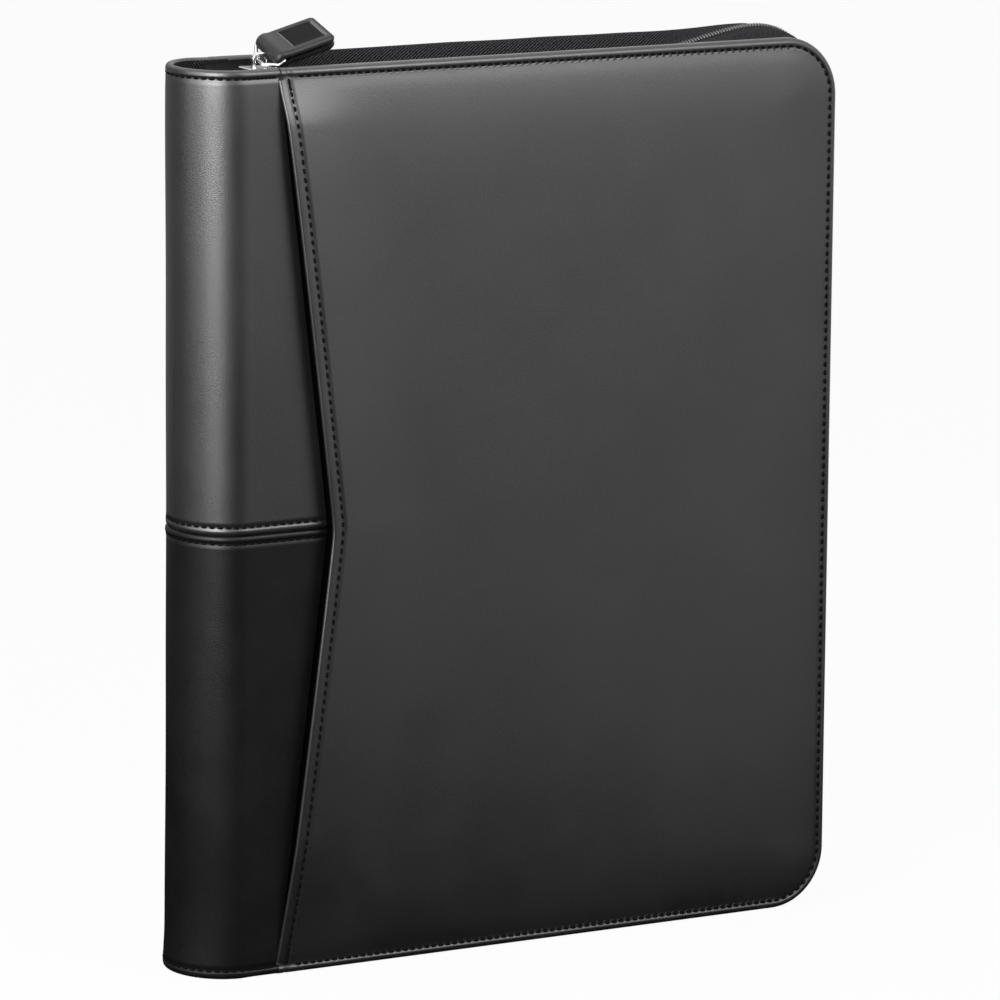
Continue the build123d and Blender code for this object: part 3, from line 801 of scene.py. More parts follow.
def pucker(cut, column, row):
    """Leather drawn up beside the needle holes and down into the sewn hem."""
    on_border = row in (0, len(cut.rows) - 1) or column == len(cut.columns) - 1
    if column == HEM_STITCH:
        return HEM_DIP + (HEM_HOLE if row % 2 == 0 else 0.0)
    if on_border:
        return EDGE_PUCKER[border_step(cut, column, row) % 2]
    if column in (HEM_STITCH - 1, HEM_STITCH + 1):
        return HEM_PUCKER[row % 2]
    return 0.0


def cover_sink(cut, column, row, seed, fall):
    """Depth of a padded cover below its face: it falls away to its sewn edges and puckers at the stitches."""
    x, z = cut.point(column, row)
    off = max(cut.from_edge(x, z), 0.0)
    crown = fall * math.exp(-off / CROWN_REACH)
    pinch = EDGE_PINCH * hump(off, PINCH_REACH)
    slow = WAVE_HEIGHT * ripple(x, z, WAVES_A_METRE, seed) * min(off / WAVE_START, 1.0)
    return crown + pinch + slow + pucker(cut, column, row)


def mouth_lift(s, z):
    """How far the mouth's edge stands off at a height."""
    ends = ease((z - MOUTH_SEWN) / FOOT_FADE) * ease((HEIGHT - z - MOUTH_SEWN) / HEAD_FADE)
    return s.mouth_gape * max(math.sin(math.pi * z / HEIGHT), 0.0) ** GAPE_FULLNESS * ends


def pocket_sink(s, cut, column, row):
    """Depth of the front pocket's panel, which stands off along its mouth."""
    x, z = cut.point(column, row)
    lift = mouth_lift(s, z) * hump(x - mouth_x(s, z), GAPE_REACH)
    return cover_sink(cut, column, row, FRONT_SEED, s.crown) - lift


def back_sink(s, cut, column, row):
    return cover_sink(cut, column, row, BACK_SEED, s.back_crown)


def cover_panel(cut, sink, fall, face_y, out_y, thick, fold):
    """A cover's leather: its sewn field, the rolled edge on three sides, and the folded edge by the spine."""
    top, last = len(cut.rows) - 1, len(cut.columns) - 1

    def field(column, row):
        x, z = cut.point(column, row)
        return Vector((x, face_y - out_y * sink(column, row), z))

    def edge(column, row, at):
        x, z = cut.point(column, row)
        reach, depth = rolled(at, thick, fall, border_step(cut, column, row) % 2 == 0)
        if column == HEM_STITCH and 0 < ROLL.index(at) < PAST_CREST - 1:
            depth += HEM_END_DIP
        way = cut.outward(column, row)
        return Vector((x, face_y - out_y * depth, z)) + way * reach

    def spine_side(column, row, at):
        base = field(column, row)
        return base + Vector((-at[0] * MM, -out_y * at[1] * MM, 0))

    bm = laid_grid(len(cut.columns), len(cut.rows), field)
    roll_over(bm, border(bm, lambda c, r: c == 0), fold, spine_side, wear=0.8)
    sides = border(bm, lambda c, r: r in (0, top)) + border(bm, lambda c, r: c == last)
    column = bm.verts.layers.int["column"]
    open_sides = [e for e in set(sides) if not all(v[column] == 0 for v in e.verts)]
    roll_over(bm, open_sides, ROLL, edge, wear=1.0)
    return bm


FOLDED = [
    (0.3, 0.03), (0.6, 0.16), (0.85, 0.42), (0.95, 0.8), (0.9, 1.2), (0.65, 1.55), (0.2, 1.75), (-3.0, 1.8),
    (-9.0, 1.85),
]
LAPPED = [(0.3, 0.04), (0.55, 0.2), (0.7, 0.5), (0.72, 0.9), (0.5, 1.15), (0.0, 1.22), (-5.0, 1.22)]


def make_pocket_panel(s):
    """Front pocket panel with its gaping chevron mouth."""
    cut = pocket_cut(s)
    thick = FRONT_IN - FRONT_Y
    bm = cover_panel(cut, lambda c, r: pocket_sink(s, cut, c, r), s.crown, FRONT_Y, -1, thick, FOLDED)
    piece, area = add_piece(bm, "front_pocket_leather", black_leather(), wall=s.leather)
    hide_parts("front_pocket_panel")
    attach(piece, "front_cover")
    width, tall = FORE_X - mouth_x(s, 0) + 2 * TURN_IN, HEIGHT + 2 * TURN_IN
    declare_sheet(piece, area, width, tall)


def back_slope(bm):
    """Lowers the top of the back a little away from the spine, so that the zip's tape stands above it."""
    for v in bm.verts:
        aside = ease((v.co.x - FOLD_X - FALL_START) / FALL_WIDE)
        v.co.z -= BACK_FALL * aside * ease((v.co.z - HEIGHT + FALL_FROM_TOP) / FALL_TALL)


def make_back_panel(s):
    """Back cover's leather, lapped over the spine leather beside the fold."""
    cut = back_cut(s)
    thick = BACK_Y - BACK_IN
    bm = cover_panel(cut, lambda c, r: back_sink(s, cut, c, r), s.back_crown, BACK_Y, 1, thick, LAPPED)
    back_slope(bm)
    piece, area = add_piece(bm, "back_panel_leather", black_leather(), wall=s.leather, inside_out=True)
    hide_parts("back_leather")
    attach(piece, "back_cover")
    width, tall = FORE_X - FOLD_X + 2 * TURN_IN, HEIGHT + 2 * TURN_IN
    declare_sheet(piece, area, width, tall)


# Spine leather

# Its form: drawn in halfway up, and spread at its foot
SPINE_BOW = 0.7 * MM
FOOT_SPREAD, FOOT_TALL = 1.0 * MM, 9 * MM
FOOT_SWELL, SWELL_TALL = 0.5 * MM, 40 * MM

# Rows beside the seam, its rolled edge, and how deep the stitches draw the leather
SEAM_ROWS = [1.0 * MM, 1.6 * MM, 2.2 * MM, 2.95 * MM, 3.7 * MM, 5.0 * MM]
SEAM_CLEAR = 7 * MM
SEAM_STITCH = 3
SEAM_ROLL = [(0.35, 0.12), (0.65, 0.4), (0.85, 0.75), (0.95, 1.05), (1.06, 1.35)]
SEAM_DIP, SEAM_HOLE = 0.5 * MM, 0.22 * MM
SPINE_PUCKER = (-0.09 * MM, 0.05 * MM)

# Its fall to the edges, the lips of the seam, and its slow waves
SPINE_CROWN, SPINE_CROWN_REACH = 0.25 * MM, 17 * MM
SPINE_PINCH, SPINE_PINCH_REACH = 0.1 * MM, 3 * MM
UPPER_LIP, LOWER_LIP, LIP_OFF, LIP_WIDE = 0.15 * MM, 0.42 * MM, 1.5 * MM, 1.0 * MM
SPINE_WAVE, SPINE_WAVES_A_METRE, SPINE_WAVE_START, SPINE_SEED = 0.16 * MM, 16, 12 * MM, 5.0

# How it runs on under the back panel and under the pocket's mouth, and its edge where it is hidden there
TUCK_DEPTH, TUCK_REACH = 1.25 * MM, 5 * MM
UNDER_BACK = 8 * MM
UNDER_MOUTH, UNDER_START, UNDER_TALL, MOUTH_SHORT = 3.2 * MM, 4 * MM, 9 * MM, 0.2 * MM
SPINE_EDGE, EDGE_CHANGE = 3.3 * MM, 8 * MM
HIDDEN_SHRINK = 0.6
HIDE_MOUTH, HIDE_MOUTH_LENGTH, HIDE_LAP, HIDE_LAP_LENGTH = 0.3 * MM, 2.5 * MM, 1 * MM, 3 * MM
SPINE_LAP, SEAM_ALLOWANCE = 2 * MM, 18 * MM


def spine_bow(z):
    """How far the spine is drawn in at a height."""
    u = (z - HEIGHT / 2) / (HEIGHT / 2)
    return SPINE_BOW * (1 - u * u)


def foot_flare(z):
    """How far the foot of the spine spreads where the case stands on it."""
    return FOOT_SPREAD * hump(z, FOOT_TALL) + FOOT_SWELL * math.exp(-z / SWELL_TALL)


def spine_wall(along, z, side):
    """Point and outward direction of the spine's outer face. Length along it is measured from the fold,
    negative round the spine and positive on to the cover. Side is -1 at the front and 1 at the back."""
    if along >= 0:
        return Vector((FOLD_X + along, SPINE_Y + side * SPINE_HALF, z)), Vector((0, side, 0))
    deep = SPINE_DEPTH - spine_bow(z) + foot_flare(z)
    turn = min(-along / spine_quarter(), 1.0) * math.pi / 2
    out = Vector((-math.sin(turn) / deep, side * math.cos(turn) / SPINE_HALF, 0)).normalized()
    return Vector((FOLD_X - deep * math.sin(turn), SPINE_Y + side * SPINE_HALF * math.cos(turn), z)), out


def spine_quarter():
    """Length of leather from the fold to the middle of the spine."""
    a, b = SPINE_DEPTH, SPINE_HALF
    return math.pi / 4 * (3 * (a + b) - math.sqrt((3 * a + b) * (a + 3 * b)))


def spine_columns(s, far):
    step = s.stitch_pitch / 2
    round_it = even_steps(-spine_quarter(), 0, step)
    return round_it + even_steps(0, far, step)[1:]


def spine_rows(s, upper):
    """Heights of the rows of one spine panel, from its foot to its head."""
    inset, step = s.edge_inset + PUCKER, s.stitch_pitch / 2
    if upper:
        return [SEAM_Z + d for d in SEAM_ROWS] + even_steps(SEAM_Z + SEAM_CLEAR, HEIGHT - inset, step)
    return even_steps(inset, SEAM_Z - SEAM_CLEAR, step) + [SEAM_Z - d for d in reversed(SEAM_ROWS)]


def spine_tuck(along, side):
    """How far the spine leather dips to pass under the back panel."""
    return TUCK_DEPTH * ease(along / TUCK_REACH) if side > 0 else 0.0


def spine_sink(s, along, z, side, upper):
    """Depth of the spine leather below its plain form, apart from its stitches."""
    to_edge = max((HEIGHT - z if upper else z) - s.edge_inset - PUCKER, 0.0)
    crown = SPINE_CROWN * math.exp(-to_edge / SPINE_CROWN_REACH)
    crown += SPINE_PINCH * hump(to_edge, SPINE_PINCH_REACH)
    lip = -(UPPER_LIP if upper else LOWER_LIP) * hump(abs(z - SEAM_Z) - LIP_OFF, LIP_WIDE)
    wave = ripple(along, z, SPINE_WAVES_A_METRE, SPINE_SEED + side)
    slow = SPINE_WAVE * wave * min(to_edge / SPINE_WAVE_START, 1.0)
    return crown + lip + spine_tuck(along, side) + slow


def spine_reach(s, z, side):
    """How far the spine leather runs past the fold at a height: to the pocket's mouth, or under the back."""
    if side > 0:
        return s.back_lap + UNDER_BACK
    under = UNDER_MOUTH * ease(1 - (min(z, HEIGHT - z) - UNDER_START) / UNDER_TALL)
    # At the front it stops just short of the pocket's mouth, so that the darkened pocket cloth, painted shade,
    # shows in the gape.
    return mouth_x(s, z) - FOLD_X - MOUTH_SHORT + under


def spine_panel(s, side, upper):
    """Leather of one quarter of the spine, with a rolled outer edge and a rolled seam edge."""
    far = spine_reach(s, SEAM_Z, side)
    columns, rows = spine_columns(s, far), spine_rows(s, upper)
    sewn = len(rows) - 1 if upper else 0
    joined = 0 if upper else len(rows) - 1
    stitched = SEAM_STITCH if upper else len(rows) - 1 - SEAM_STITCH
    up = 1 if upper else -1
    cover = FRONT_IN - WRAP_Y if side < 0 else BACK_Y - BACK_IN

    def along_at(column, row):
        along = columns[column]
        return along * spine_reach(s, rows[row], side) / far if along > 0 else along

    def field(column, row):
        along, z = along_at(column, row), rows[row]
        point, out = spine_wall(along, z, side)
        hole = column % 2 == 0
        local = 0.0
        if row == stitched:
            local = SEAM_DIP + (SEAM_HOLE if hole else 0.0)
        elif row == sewn or abs(row - stitched) == 1:
            local = SPINE_PUCKER[column % 2]
        return point - out * (spine_sink(s, along, z, side, upper) + local)

    def edge(column, row, at):
        along, z = along_at(column, row), rows[row]
        point, out = spine_wall(along, z, side)
        thick = lerp(SPINE_EDGE, cover, ease(along / EDGE_CHANGE + 0.5))
        reach, depth = rolled(at, thick, SPINE_CROWN, column % 2 == 0)
        if side < 0:
            hidden = ease((FOLD_X + along - mouth_x(s, z) + HIDE_MOUTH) / HIDE_MOUTH_LENGTH)
        else:
            hidden = ease((along - s.back_lap - HIDE_LAP) / HIDE_LAP_LENGTH)
        depth += spine_tuck(along, side) * (1 - ease(depth / thick))
        return point - out * depth + Vector((0, 0, up * reach * (1 - HIDDEN_SHRINK * hidden)))

    def seam(column, row, at):
        along, z = along_at(column, row), rows[row]
        point, out = spine_wall(along, z, side)
        sunk = spine_sink(s, along, z, side, upper)
        return point - out * (sunk + at[1] * MM) - Vector((0, 0, up * at[0] * MM))

    bm = laid_grid(len(columns), len(rows), field)
    roll_over(bm, border(bm, lambda c, r: r == sewn), ROLL, edge, wear=1.0)
    roll_over(bm, border(bm, lambda c, r: r == joined), SEAM_ROLL, seam, wear=1.0)
    return bm


def make_spine_leather(s):
    """Spine leather: upper and lower panels round the front and the back of the spine, over the folds."""
    stands_for = {
        (-1, True): ["front_wrap_upper", "spine_leather_upper"],
        (-1, False): ["front_wrap_lower", "spine_leather_lower"],
        (1, True): ["spine_leather_upper"],
        (1, False): ["spine_leather_lower"],
    }
    for side, place in ((-1, "front"), (1, "back")):
        for upper, part in ((True, "upper"), (False, "lower")):
            bm = spine_panel(s, side, upper)
            finish = black_leather() if upper else lower_leather()
            name = f"spine_{place}_leather_{part}"
            piece, area = add_piece(bm, name, finish, wall=s.leather, inside_out=side > 0)
            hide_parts(*stands_for[side, upper])
            bend(piece, side)
            width = spine_quarter() + spine_reach(s, SEAM_Z, side) + SPINE_LAP
            tall = (HEIGHT - SEAM_Z if upper else SEAM_Z) + SEAM_ALLOWANCE
            declare_sheet(piece, area, width, tall)


# Sewing of the covers and the spine

THREAD_DEPTH = 0.34 * MM
SHORT_OF_LAP, SHORT_OF_MOUTH = 1.5 * MM, 0.5 * MM


def sew_cover(s, shape, cut, sink, fall, face_y, out_y):
    """Stitches round three sides of a cover and along its hem."""
    bm = bmesh.new()
    top, last = len(cut.rows) - 1, len(cut.columns) - 1
    out = Vector((0, out_y, 0))

    def round_edge(column, row):
        x, z = cut.point(column, row)
        return Vector((x, face_y - out_y * (fall + THREAD_DEPTH), z)) + cut.outward(column, row) * PUCKER

    def along_hem(row):
        x, z = cut.point(HEM_STITCH, row)
        sunk = sink(s, cut, HEM_STITCH, row) - pucker(cut, HEM_STITCH, row)
        return Vector((x, face_y - out_y * (sunk + THREAD_DEPTH), z))

    round_it = [round_edge(c, 0) for c in range(len(HEM), last + 1)]
    round_it += [round_edge(last, r) for r in range(1, top + 1)]
    round_it += [round_edge(c, top) for c in range(last - 1, len(HEM) - 1, -1)]
    sew_line(bm, shape, round_it, out)
    sew_line(bm, shape, [along_hem(r) for r in range(2, top - 1)], out)
    return bm


def sew_spine(s, shape, side):
    """Stitches along the edges of half the spine and on both sides of its seam."""
    bm = bmesh.new()
    columns = spine_columns(s, spine_reach(s, SEAM_Z, side))
    for upper in (True, False):
        edge = HEIGHT - s.edge_inset if upper else s.edge_inset
        seam = SEAM_Z + SEAM_ROWS[SEAM_STITCH] * (1 if upper else -1)
        for z in (edge, seam):
            end = s.back_lap - SHORT_OF_LAP if side > 0 else mouth_x(s, z) - FOLD_X - SHORT_OF_MOUTH
            scale = spine_reach(s, z, side) / spine_reach(s, SEAM_Z, side)
            shown = [a if a < 0 else a * scale for a in columns]
            shown = [a for a in shown if a < end]
            walls = [spine_wall(a, z, side) for a in shown]
            depths = [spine_sink(s, a, z, side, upper) + THREAD_DEPTH for a in shown]
            points = [point - out * depth for (point, out), depth in zip(walls, depths)]
            sew_line(bm, shape, points, lambda k: walls[k][1])
    return bm


def make_cover_stitches(s):
    """Stitches round the covers, along the pocket's mouth, along the spine's edges and beside its seam."""
    shape = stitch_shape(s)
    thread = sewing_thread()
    bm = sew_cover(s, shape, pocket_cut(s), pocket_sink, s.crown, FRONT_Y, -1)
    piece, _ = add_piece(bm, "front_pocket_stitches", thread)
    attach(piece, "front_cover")
    bm = sew_cover(s, shape, back_cut(s), back_sink, s.back_crown, BACK_Y, 1)
    back_slope(bm)
    piece, _ = add_piece(bm, "back_panel_stitches", thread)
    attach(piece, "back_cover")
    for side, place in ((-1, "front"), (1, "back")):
        piece, _ = add_piece(sew_spine(s, shape, side), f"spine_{place}_stitches", thread)
        bend(piece, side)
    bpy.data.meshes.remove(shape)


# Zip

RISE_START = 66 * MM


def zip_path(s, start_x, step):
    """Stations along the covers' outline from the top of the spine round to its foot: point and way out."""
    straight_x, r = FORE_X - s.corner, s.corner
    stations = [(Vector((x, 0, HEIGHT)), Vector((0, 0, 1))) for x in even_steps(start_x, straight_x, step)]
    turn = max(8, round(r * math.pi / 2 / step))
    for k in range(1, turn + 1):
        a = k / turn * math.pi / 2
        out = Vector((math.sin(a), 0, math.cos(a)))
        stations.append((Vector((straight_x, 0, HEIGHT - r)) + out * r, out))
    stations += [(Vector((FORE_X, 0, z)), Vector((1, 0, 0))) for z in even_steps(HEIGHT - r, r, step)[1:]]
    for k in range(1, turn + 1):
        a = k / turn * math.pi / 2
        out = Vector((math.cos(a), 0, -math.sin(a)))
        stations.append((Vector((straight_x, 0, r)) + out * r, out))
    stations += [(Vector((x, 0, 0)), Vector((0, 0, -1))) for x in even_steps(straight_x, start_x, step)[1:]]
    return stations


def on_top(point, out):
    """1 along the top of the covers, falling to 0 round the top corner."""
    return ease((out.z - 0.25) / 0.7) if point.z > HEIGHT / 2 else 0.0


def chain_rise(s, point, out):
    """How far the chain stands out of its straight run where it turns the top corner."""
    if point.z < HEIGHT / 2:
        return 0.0
    start, crest = FORE_X - RISE_START, FORE_X - s.corner
    if point.x <= crest:
        return s.chain_bulge * ease((point.x - start) / (crest - start))
    return s.chain_bulge * ease((out.z - 0.3) / 0.5)


# Steps across the tape, from the cover to the chain: how far off the lining and inside the outline, in mm
FRONT_TAPE = [
    (0.2, 10.0), (0.25, 6.0), (0.4, 3.4), (1.2, 2.1), (2.8, 1.5), (4.8, 1.35), (7.2, 1.7), (9.4, 2.9),
    (11.1, 4.2), (14.0, 4.5), (15.9, 4.5),
]
BACK_TAPE = [
    (0.2, 10.0), (0.3, 5.0), (0.6, 1.6), (1.5, -0.2), (3.0, -0.9), (5.0, -0.6), (7.4, 0.8), (9.4, 2.6),
    (11.1, 4.1), (14.0, 4.5), (15.9, 4.5),
]
SIDE_TAPE = [
    (0.2, 10.0), (0.25, 6.0), (0.4, 3.6), (1.2, 2.6), (2.8, 2.2), (4.8, 2.3), (7.2, 2.8), (9.4, 3.6),
    (11.1, 4.3), (14.0, 4.5), (15.9, 4.5),
]
# Inset beside the spine, where the tape lies flat, and how far each step follows the chain's rise
FLAT_TAPE = [1.2, 2.4, 4.0, 4.6, 4.5, 4.5, 4.5, 4.5, 4.5, 4.5, 4.5]
FOLLOWS = [0.0, 0.0, 0.02, 0.06, 0.14, 0.26, 0.45, 0.7, 0.92, 1.0, 1.0]
TAPE_STEP, FLAT_END = 3 * MM, 14 * MM
BACK_SAG, SAG_FROM_FORE, SAG_CHANGE = 0.55 * MM, 105 * MM, 60 * MM
TAPE_WAVE, GORE_WIDTH, STEEP = 0.25 * MM, 0.9 * MM, 0.4 * MM
TAPE_TURN, TAPE_END = 3 * MM, 2 * MM


def make_zip_tape(s):
    """Both halves of the zip's woven tape, arched between the covers' edges and the chain."""
    # The tape's light and dark threads are nine times apart in colour: its twill and fuzz, and painted glints on
    # its threads.
    cloth = cloth_material(
        "Zip tape", colours().tape, 2100.0, 0.6, on_uv=True, sheen=0.0, rough=0.7, contrast=9.0, shine=0.02)
    stations = zip_path(s, FOLD_X + TAPE_STEP, TAPE_STEP)
    run = run_along([point for point, _ in stations])
    width = [0.0]
    for a, b in zip(SIDE_TAPE, SIDE_TAPE[1:]):
        width.append(width[-1] + math.hypot(b[0] - a[0], b[1] - a[1]) * MM)
    for place, body, side, over, sewn_y in (
        ("front", "front_cover", -1, FRONT_TAPE, FRONT_IN),
        ("back", "back_cover", 1, BACK_TAPE, BACK_IN),
    ):
        def lay(column, row):
            point, out = stations[row]
            top, foot = on_top(point, out), point.z < HEIGHT / 2 and out.z < -0.5
            across = lerp(SIDE_TAPE[column][0], over[column][0], top) * MM
            inset = lerp(SIDE_TAPE[column][1], over[column][1], top) * MM
            end = 1 - ease((point.x - SLIDER_HIGH.x) / FLAT_END) if out.z else 0.0
            inset = lerp(inset, FLAT_TAPE[column] * MM, end)
            if side > 0:
                sag = BACK_SAG * ease((point.x - FORE_X + SAG_FROM_FORE) / SAG_CHANGE) * top
                inset += sag * (1 - FOLLOWS[column])
            inset -= chain_rise(s, point, out) * FOLLOWS[column]
            if 2 < column < 8:
                inset += TAPE_WAVE * ripple(row * 0.11, column * 0.2, 1.0, 2.0 + side) * (1 - end)
            gore = max(SLIDER_X - point.x, 0.0) / (SLIDER_X - FOLD_X) if not foot else 0.0
            across = lerp(across, min(across, GORE_WIDTH), gore)
            return point - out * inset + Vector((0, sewn_y - side * across, 0))

        bm = laid_grid(len(over), len(stations), lay)
        unwrap_along(bm, width, run)
        steep = [e for e in bm.edges if abs(e.verts[0].co.y - e.verts[1].co.y) > STEEP]
        bmesh.ops.subdivide_edges(bm, edges=steep, cuts=1, smooth=0.6, use_grid_fill=True)
        piece, area = add_piece(bm, f"{place}_tape", cloth, wall=s.tape, inside_out=side < 0)
        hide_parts(f"{place}_zip_tape")
        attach(piece, body)
        wide, tall = width[-1] + TAPE_TURN, run[-1] + TAPE_END
        declare_sheet(piece, area, wide, tall)


TOOTH = (0.64 * MM, 1.75 * MM, 1.7 * MM)
TOOTH_ROUND, TOOTH_HEAD, HEAD_SLIM, TOOTH_OFF = 0.2 * MM, 0.5 * MM, 0.8, 0.74 * MM
COIL_STEP, FRONT_START, BACK_START, FOOT_CLEAR = 0.4 * MM, 0.7 * MM, 4.2 * MM, 0.4 * MM


def tooth_shape():
    """One tooth of the coil, along Y, with a slimmer head."""
    bm = bmesh.new()
    bmesh.ops.create_cube(bm, size=1.0)
    bmesh.ops.scale(bm, verts=bm.verts, vec=TOOTH)
    round_edges(bm, list(bm.edges), TOOTH_ROUND, 1)
    for v in bm.verts:
        if v.co.y > TOOTH_HEAD:
            v.co.z *= HEAD_SLIM
    return to_mesh(bm, "tooth")


def make_zip_coil(s):
    """Both halves of the coil: one rounded tooth for each turn, the two halves set between each other."""
    nylon = nylon_material("Zip coil nylon", colours().coil)
    tooth = tooth_shape()
    stations = zip_path(s, SLIDER_LOW.x, COIL_STEP)
    chain = [p - o * (ZIP_INSET - chain_rise(s, p, o)) for p, o in stations]
    run = run_along(chain)
    for place, body, side, start in (
        ("front", "front_cover", -1, SLIDER_HIGH.x + FRONT_START),
        ("back", "back_cover", 1, SLIDER_LOW.x + BACK_START),
    ):
        bm = bmesh.new()
        begin = next(r for r, p in zip(run, chain) if p.x > start)
        end = max(r for r, p in zip(run, chain) if p.z > HEIGHT / 2 or p.x > SLIDER_HIGH.x + FOOT_CLEAR)
        k = 0
        for turn in range(math.ceil(begin / s.coil_pitch), int(end / s.coil_pitch)):
            at = (turn + (0.5 if side < 0 else 0.0)) * s.coil_pitch
            while run[k + 1] < at:
                k += 1
            centre = chain[k].lerp(chain[k + 1], (at - run[k]) / (run[k + 1] - run[k]))
            centre.y = ZIP_Y + side * TOOTH_OFF
            along = (chain[k + 1] - chain[k]).normalized()
            inner = Vector((0, -side, 0))
            add_copy(bm, tooth, stand(centre, along, inner, along.cross(inner)))
        piece, _ = add_piece(bm, f"{place}_coil", nylon)
        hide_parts(f"{place}_zip_coil")
        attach(piece, body)
    bpy.data.meshes.remove(tooth)


def dress_zip_metal():
    """The slider, its crown, the ring and the stops keep their solids and get plated metal."""
    for node in ("slider_body", "slider_crown", "pull_ring", "front_zip_stop", "back_zip_stop"):
        dress_node(node, zip_metal())


# Pull tab, in millimetres until it is hung on the ring

TAB_LONG, TAB_WIDE, TAB_HALF, TAB_LOOP = 20.5, 13.5, 1.4, 2.1
TAB_SEWN, TAB_NEAR, TAB_FAR = 1.5, 4.8, 19.0
TAB_SEAM = TAB_WIDE / 2 - TAB_SEWN
TAB_ROUND, TAB_NECK, TAB_STEP = 1.5, 2.5, 0.5
TAB_RIM = [(0.12, 0.25), (0.14, 0.6), (0.1, 1.0)]
TAB_LEATHER = 1.1 * MM
TAB_STITCH = (0.62, 0.6, 0.5, 1.0)
TAB_STITCH_STEP, TAB_STITCH_IN, TAB_STITCH_PAST = 1.05, 0.12, 0.4
FILLER = ((TAB_LONG - 4.0) * MM, (TAB_WIDE - 0.3) * MM, 0.8 * MM)
FILLER_MIDDLE, FILLER_CORNER, FILLER_ROUND = (TAB_LONG + 3.8) / 2 * MM, 1.3 * MM, 0.12 * MM


def tab_place():
    """Where the pull tab hangs: its length runs along X from the ring's bar, its face looks along Z."""
    tilt = Matrix.Rotation(math.radians(7), 4, "Z") @ Matrix.Rotation(math.radians(22), 4, "X")
    return Matrix.Translation(TAB_PIVOT) @ tilt @ Matrix.Rotation(math.radians(-16), 4, "Y")


def tab_path():
    """Outer side of the folded strip, from the tip under the tab, round the ring's bar, to the tip on top."""
    under = [(x, -TAB_HALF) for x in even_steps(TAB_LONG - 0.2, 4.2, 0.5)]
    neck = [(3.5, -TAB_HALF - 0.06), (2.8, -TAB_HALF - 0.18), (2.1, -TAB_HALF - 0.34)]
    loop = []
    for k in range(25):
        a = math.radians(-66 - k / 24 * 228)
        loop.append((TAB_LOOP * math.cos(a), TAB_LOOP * math.sin(a)))
    over = [(x, -z) for x, z in reversed(under + neck)]
    return under + neck + loop + over


def tab_relief(x, y):
    """Height of the tab's broad faces: sewn grooves along its sides, ridges across the ends of the sewing."""
    between = ease((x - TAB_NEAR + 0.6) / 0.6) * ease((TAB_FAR + 0.6 - x) / 0.6)
    groove = 0.3 * hump(abs(y) - TAB_SEAM, 0.45) * between
    across = ease((TAB_SEAM + 0.3 - abs(y)) / 0.6)
    ridge = 0.34 * (hump(x - TAB_NEAR, 0.42) + hump(x - TAB_FAR, 0.42)) * across
    pressed = 0.12 * ease((TAB_SEAM - abs(y)) / 0.8) * ease((x - TAB_NEAR) / 0.8) * ease((TAB_FAR - x) / 0.8)
    edge = min(TAB_WIDE / 2 - abs(y), TAB_LONG - x)
    return ridge - groove - pressed - 0.35 * hump(edge, 0.5)


def make_tab_strip(finish):
    """A strip of leather folded round the ring, with its own finish on the sewn panel, and a much lighter leather
    on the ridges that paints their highlight.
    """
    pressed = leather_material("Pull tab panel", rgba(colours().tab, 0.45)[:3], 0.6, 0.7, 0.12, 1500.0)
    # Painted highlight: the ridges' leather is three and a half times lighter than the tab's.
    painted_highlight_ridges = leather_material("Pull tab ridges", rgba(colours().tab, 3.5)[:3], 0.4, 0.48, 0.8, 1500.0)
    path = tab_path()
    sides = even_steps(-TAB_WIDE / 2, TAB_WIDE / 2, TAB_STEP)

    def tab_point(column, row):
        x, z = path[column]
        y = sides[row]
        if x > TAB_LONG - TAB_ROUND:
            slim = TAB_ROUND - math.sqrt(max(TAB_ROUND ** 2 - (x - TAB_LONG + TAB_ROUND) ** 2, 0.0))
            y *= 1 - slim / (TAB_WIDE / 2)
        if x > TAB_NECK:
            z += math.copysign(tab_relief(x, y) * ease((x - TAB_NECK) / 1.5), z)
        return Vector((x, y, z)) * MM

    bm = laid_grid(len(path), len(sides), tab_point)
    ends, tips = (0, len(sides) - 1), (0, len(path) - 1)

    def rim(column, row, at):
        base = tab_point(column, row)
        x, z = path[column]
        inward = Vector((0, 0, -math.copysign(1, z))) if x > 2.2 else Vector((-x, 0, -z)).normalized()
        out = Vector((float(column in tips), math.copysign(float(row in ends), sides[row]), 0))
        return base + out * at[0] * MM + inward * at[1] * MM

    roll_over(bm, [e for e in bm.edges if e.is_boundary], TAB_RIM, rim, wear=1.0)
    worn, column = bm.verts.layers.float["wear"], bm.verts.layers.int["column"]
    row = bm.verts.layers.int["row"]
    for v in bm.verts:
        if path[v[column]][0] < 1.5:
            v[worn] = max(v[worn], 0.7)
    for face in bm.faces:
        spots = [(path[v[column]][0], sides[v[row]]) for v in face.verts]
        if all(TAB_NEAR - 0.5 < x < TAB_FAR + 0.5 and abs(y) < TAB_SEAM + 0.3 for x, y in spots):
            # Faces of the ridges get the painted highlight, and those of the sewn panel get its own finish.
            face.material_index = 1 if all(TAB_NEAR + 0.4 < x < TAB_FAR - 0.4 for x, y in spots) else 2
    bmesh.ops.transform(bm, matrix=tab_place(), verts=bm.verts)
    piece, area = add_piece(bm, "tab_strip", finish, wall=TAB_LEATHER, inside_out=True)
    piece.data.materials.append(pressed)
    piece.data.materials.append(painted_highlight_ridges)
    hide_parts("pull_tab")
    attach(piece, "tab")
    declare_sheet(piece, area, (TAB_WIDE + 2.2) * MM, (2 * TAB_LONG + 13) * MM)


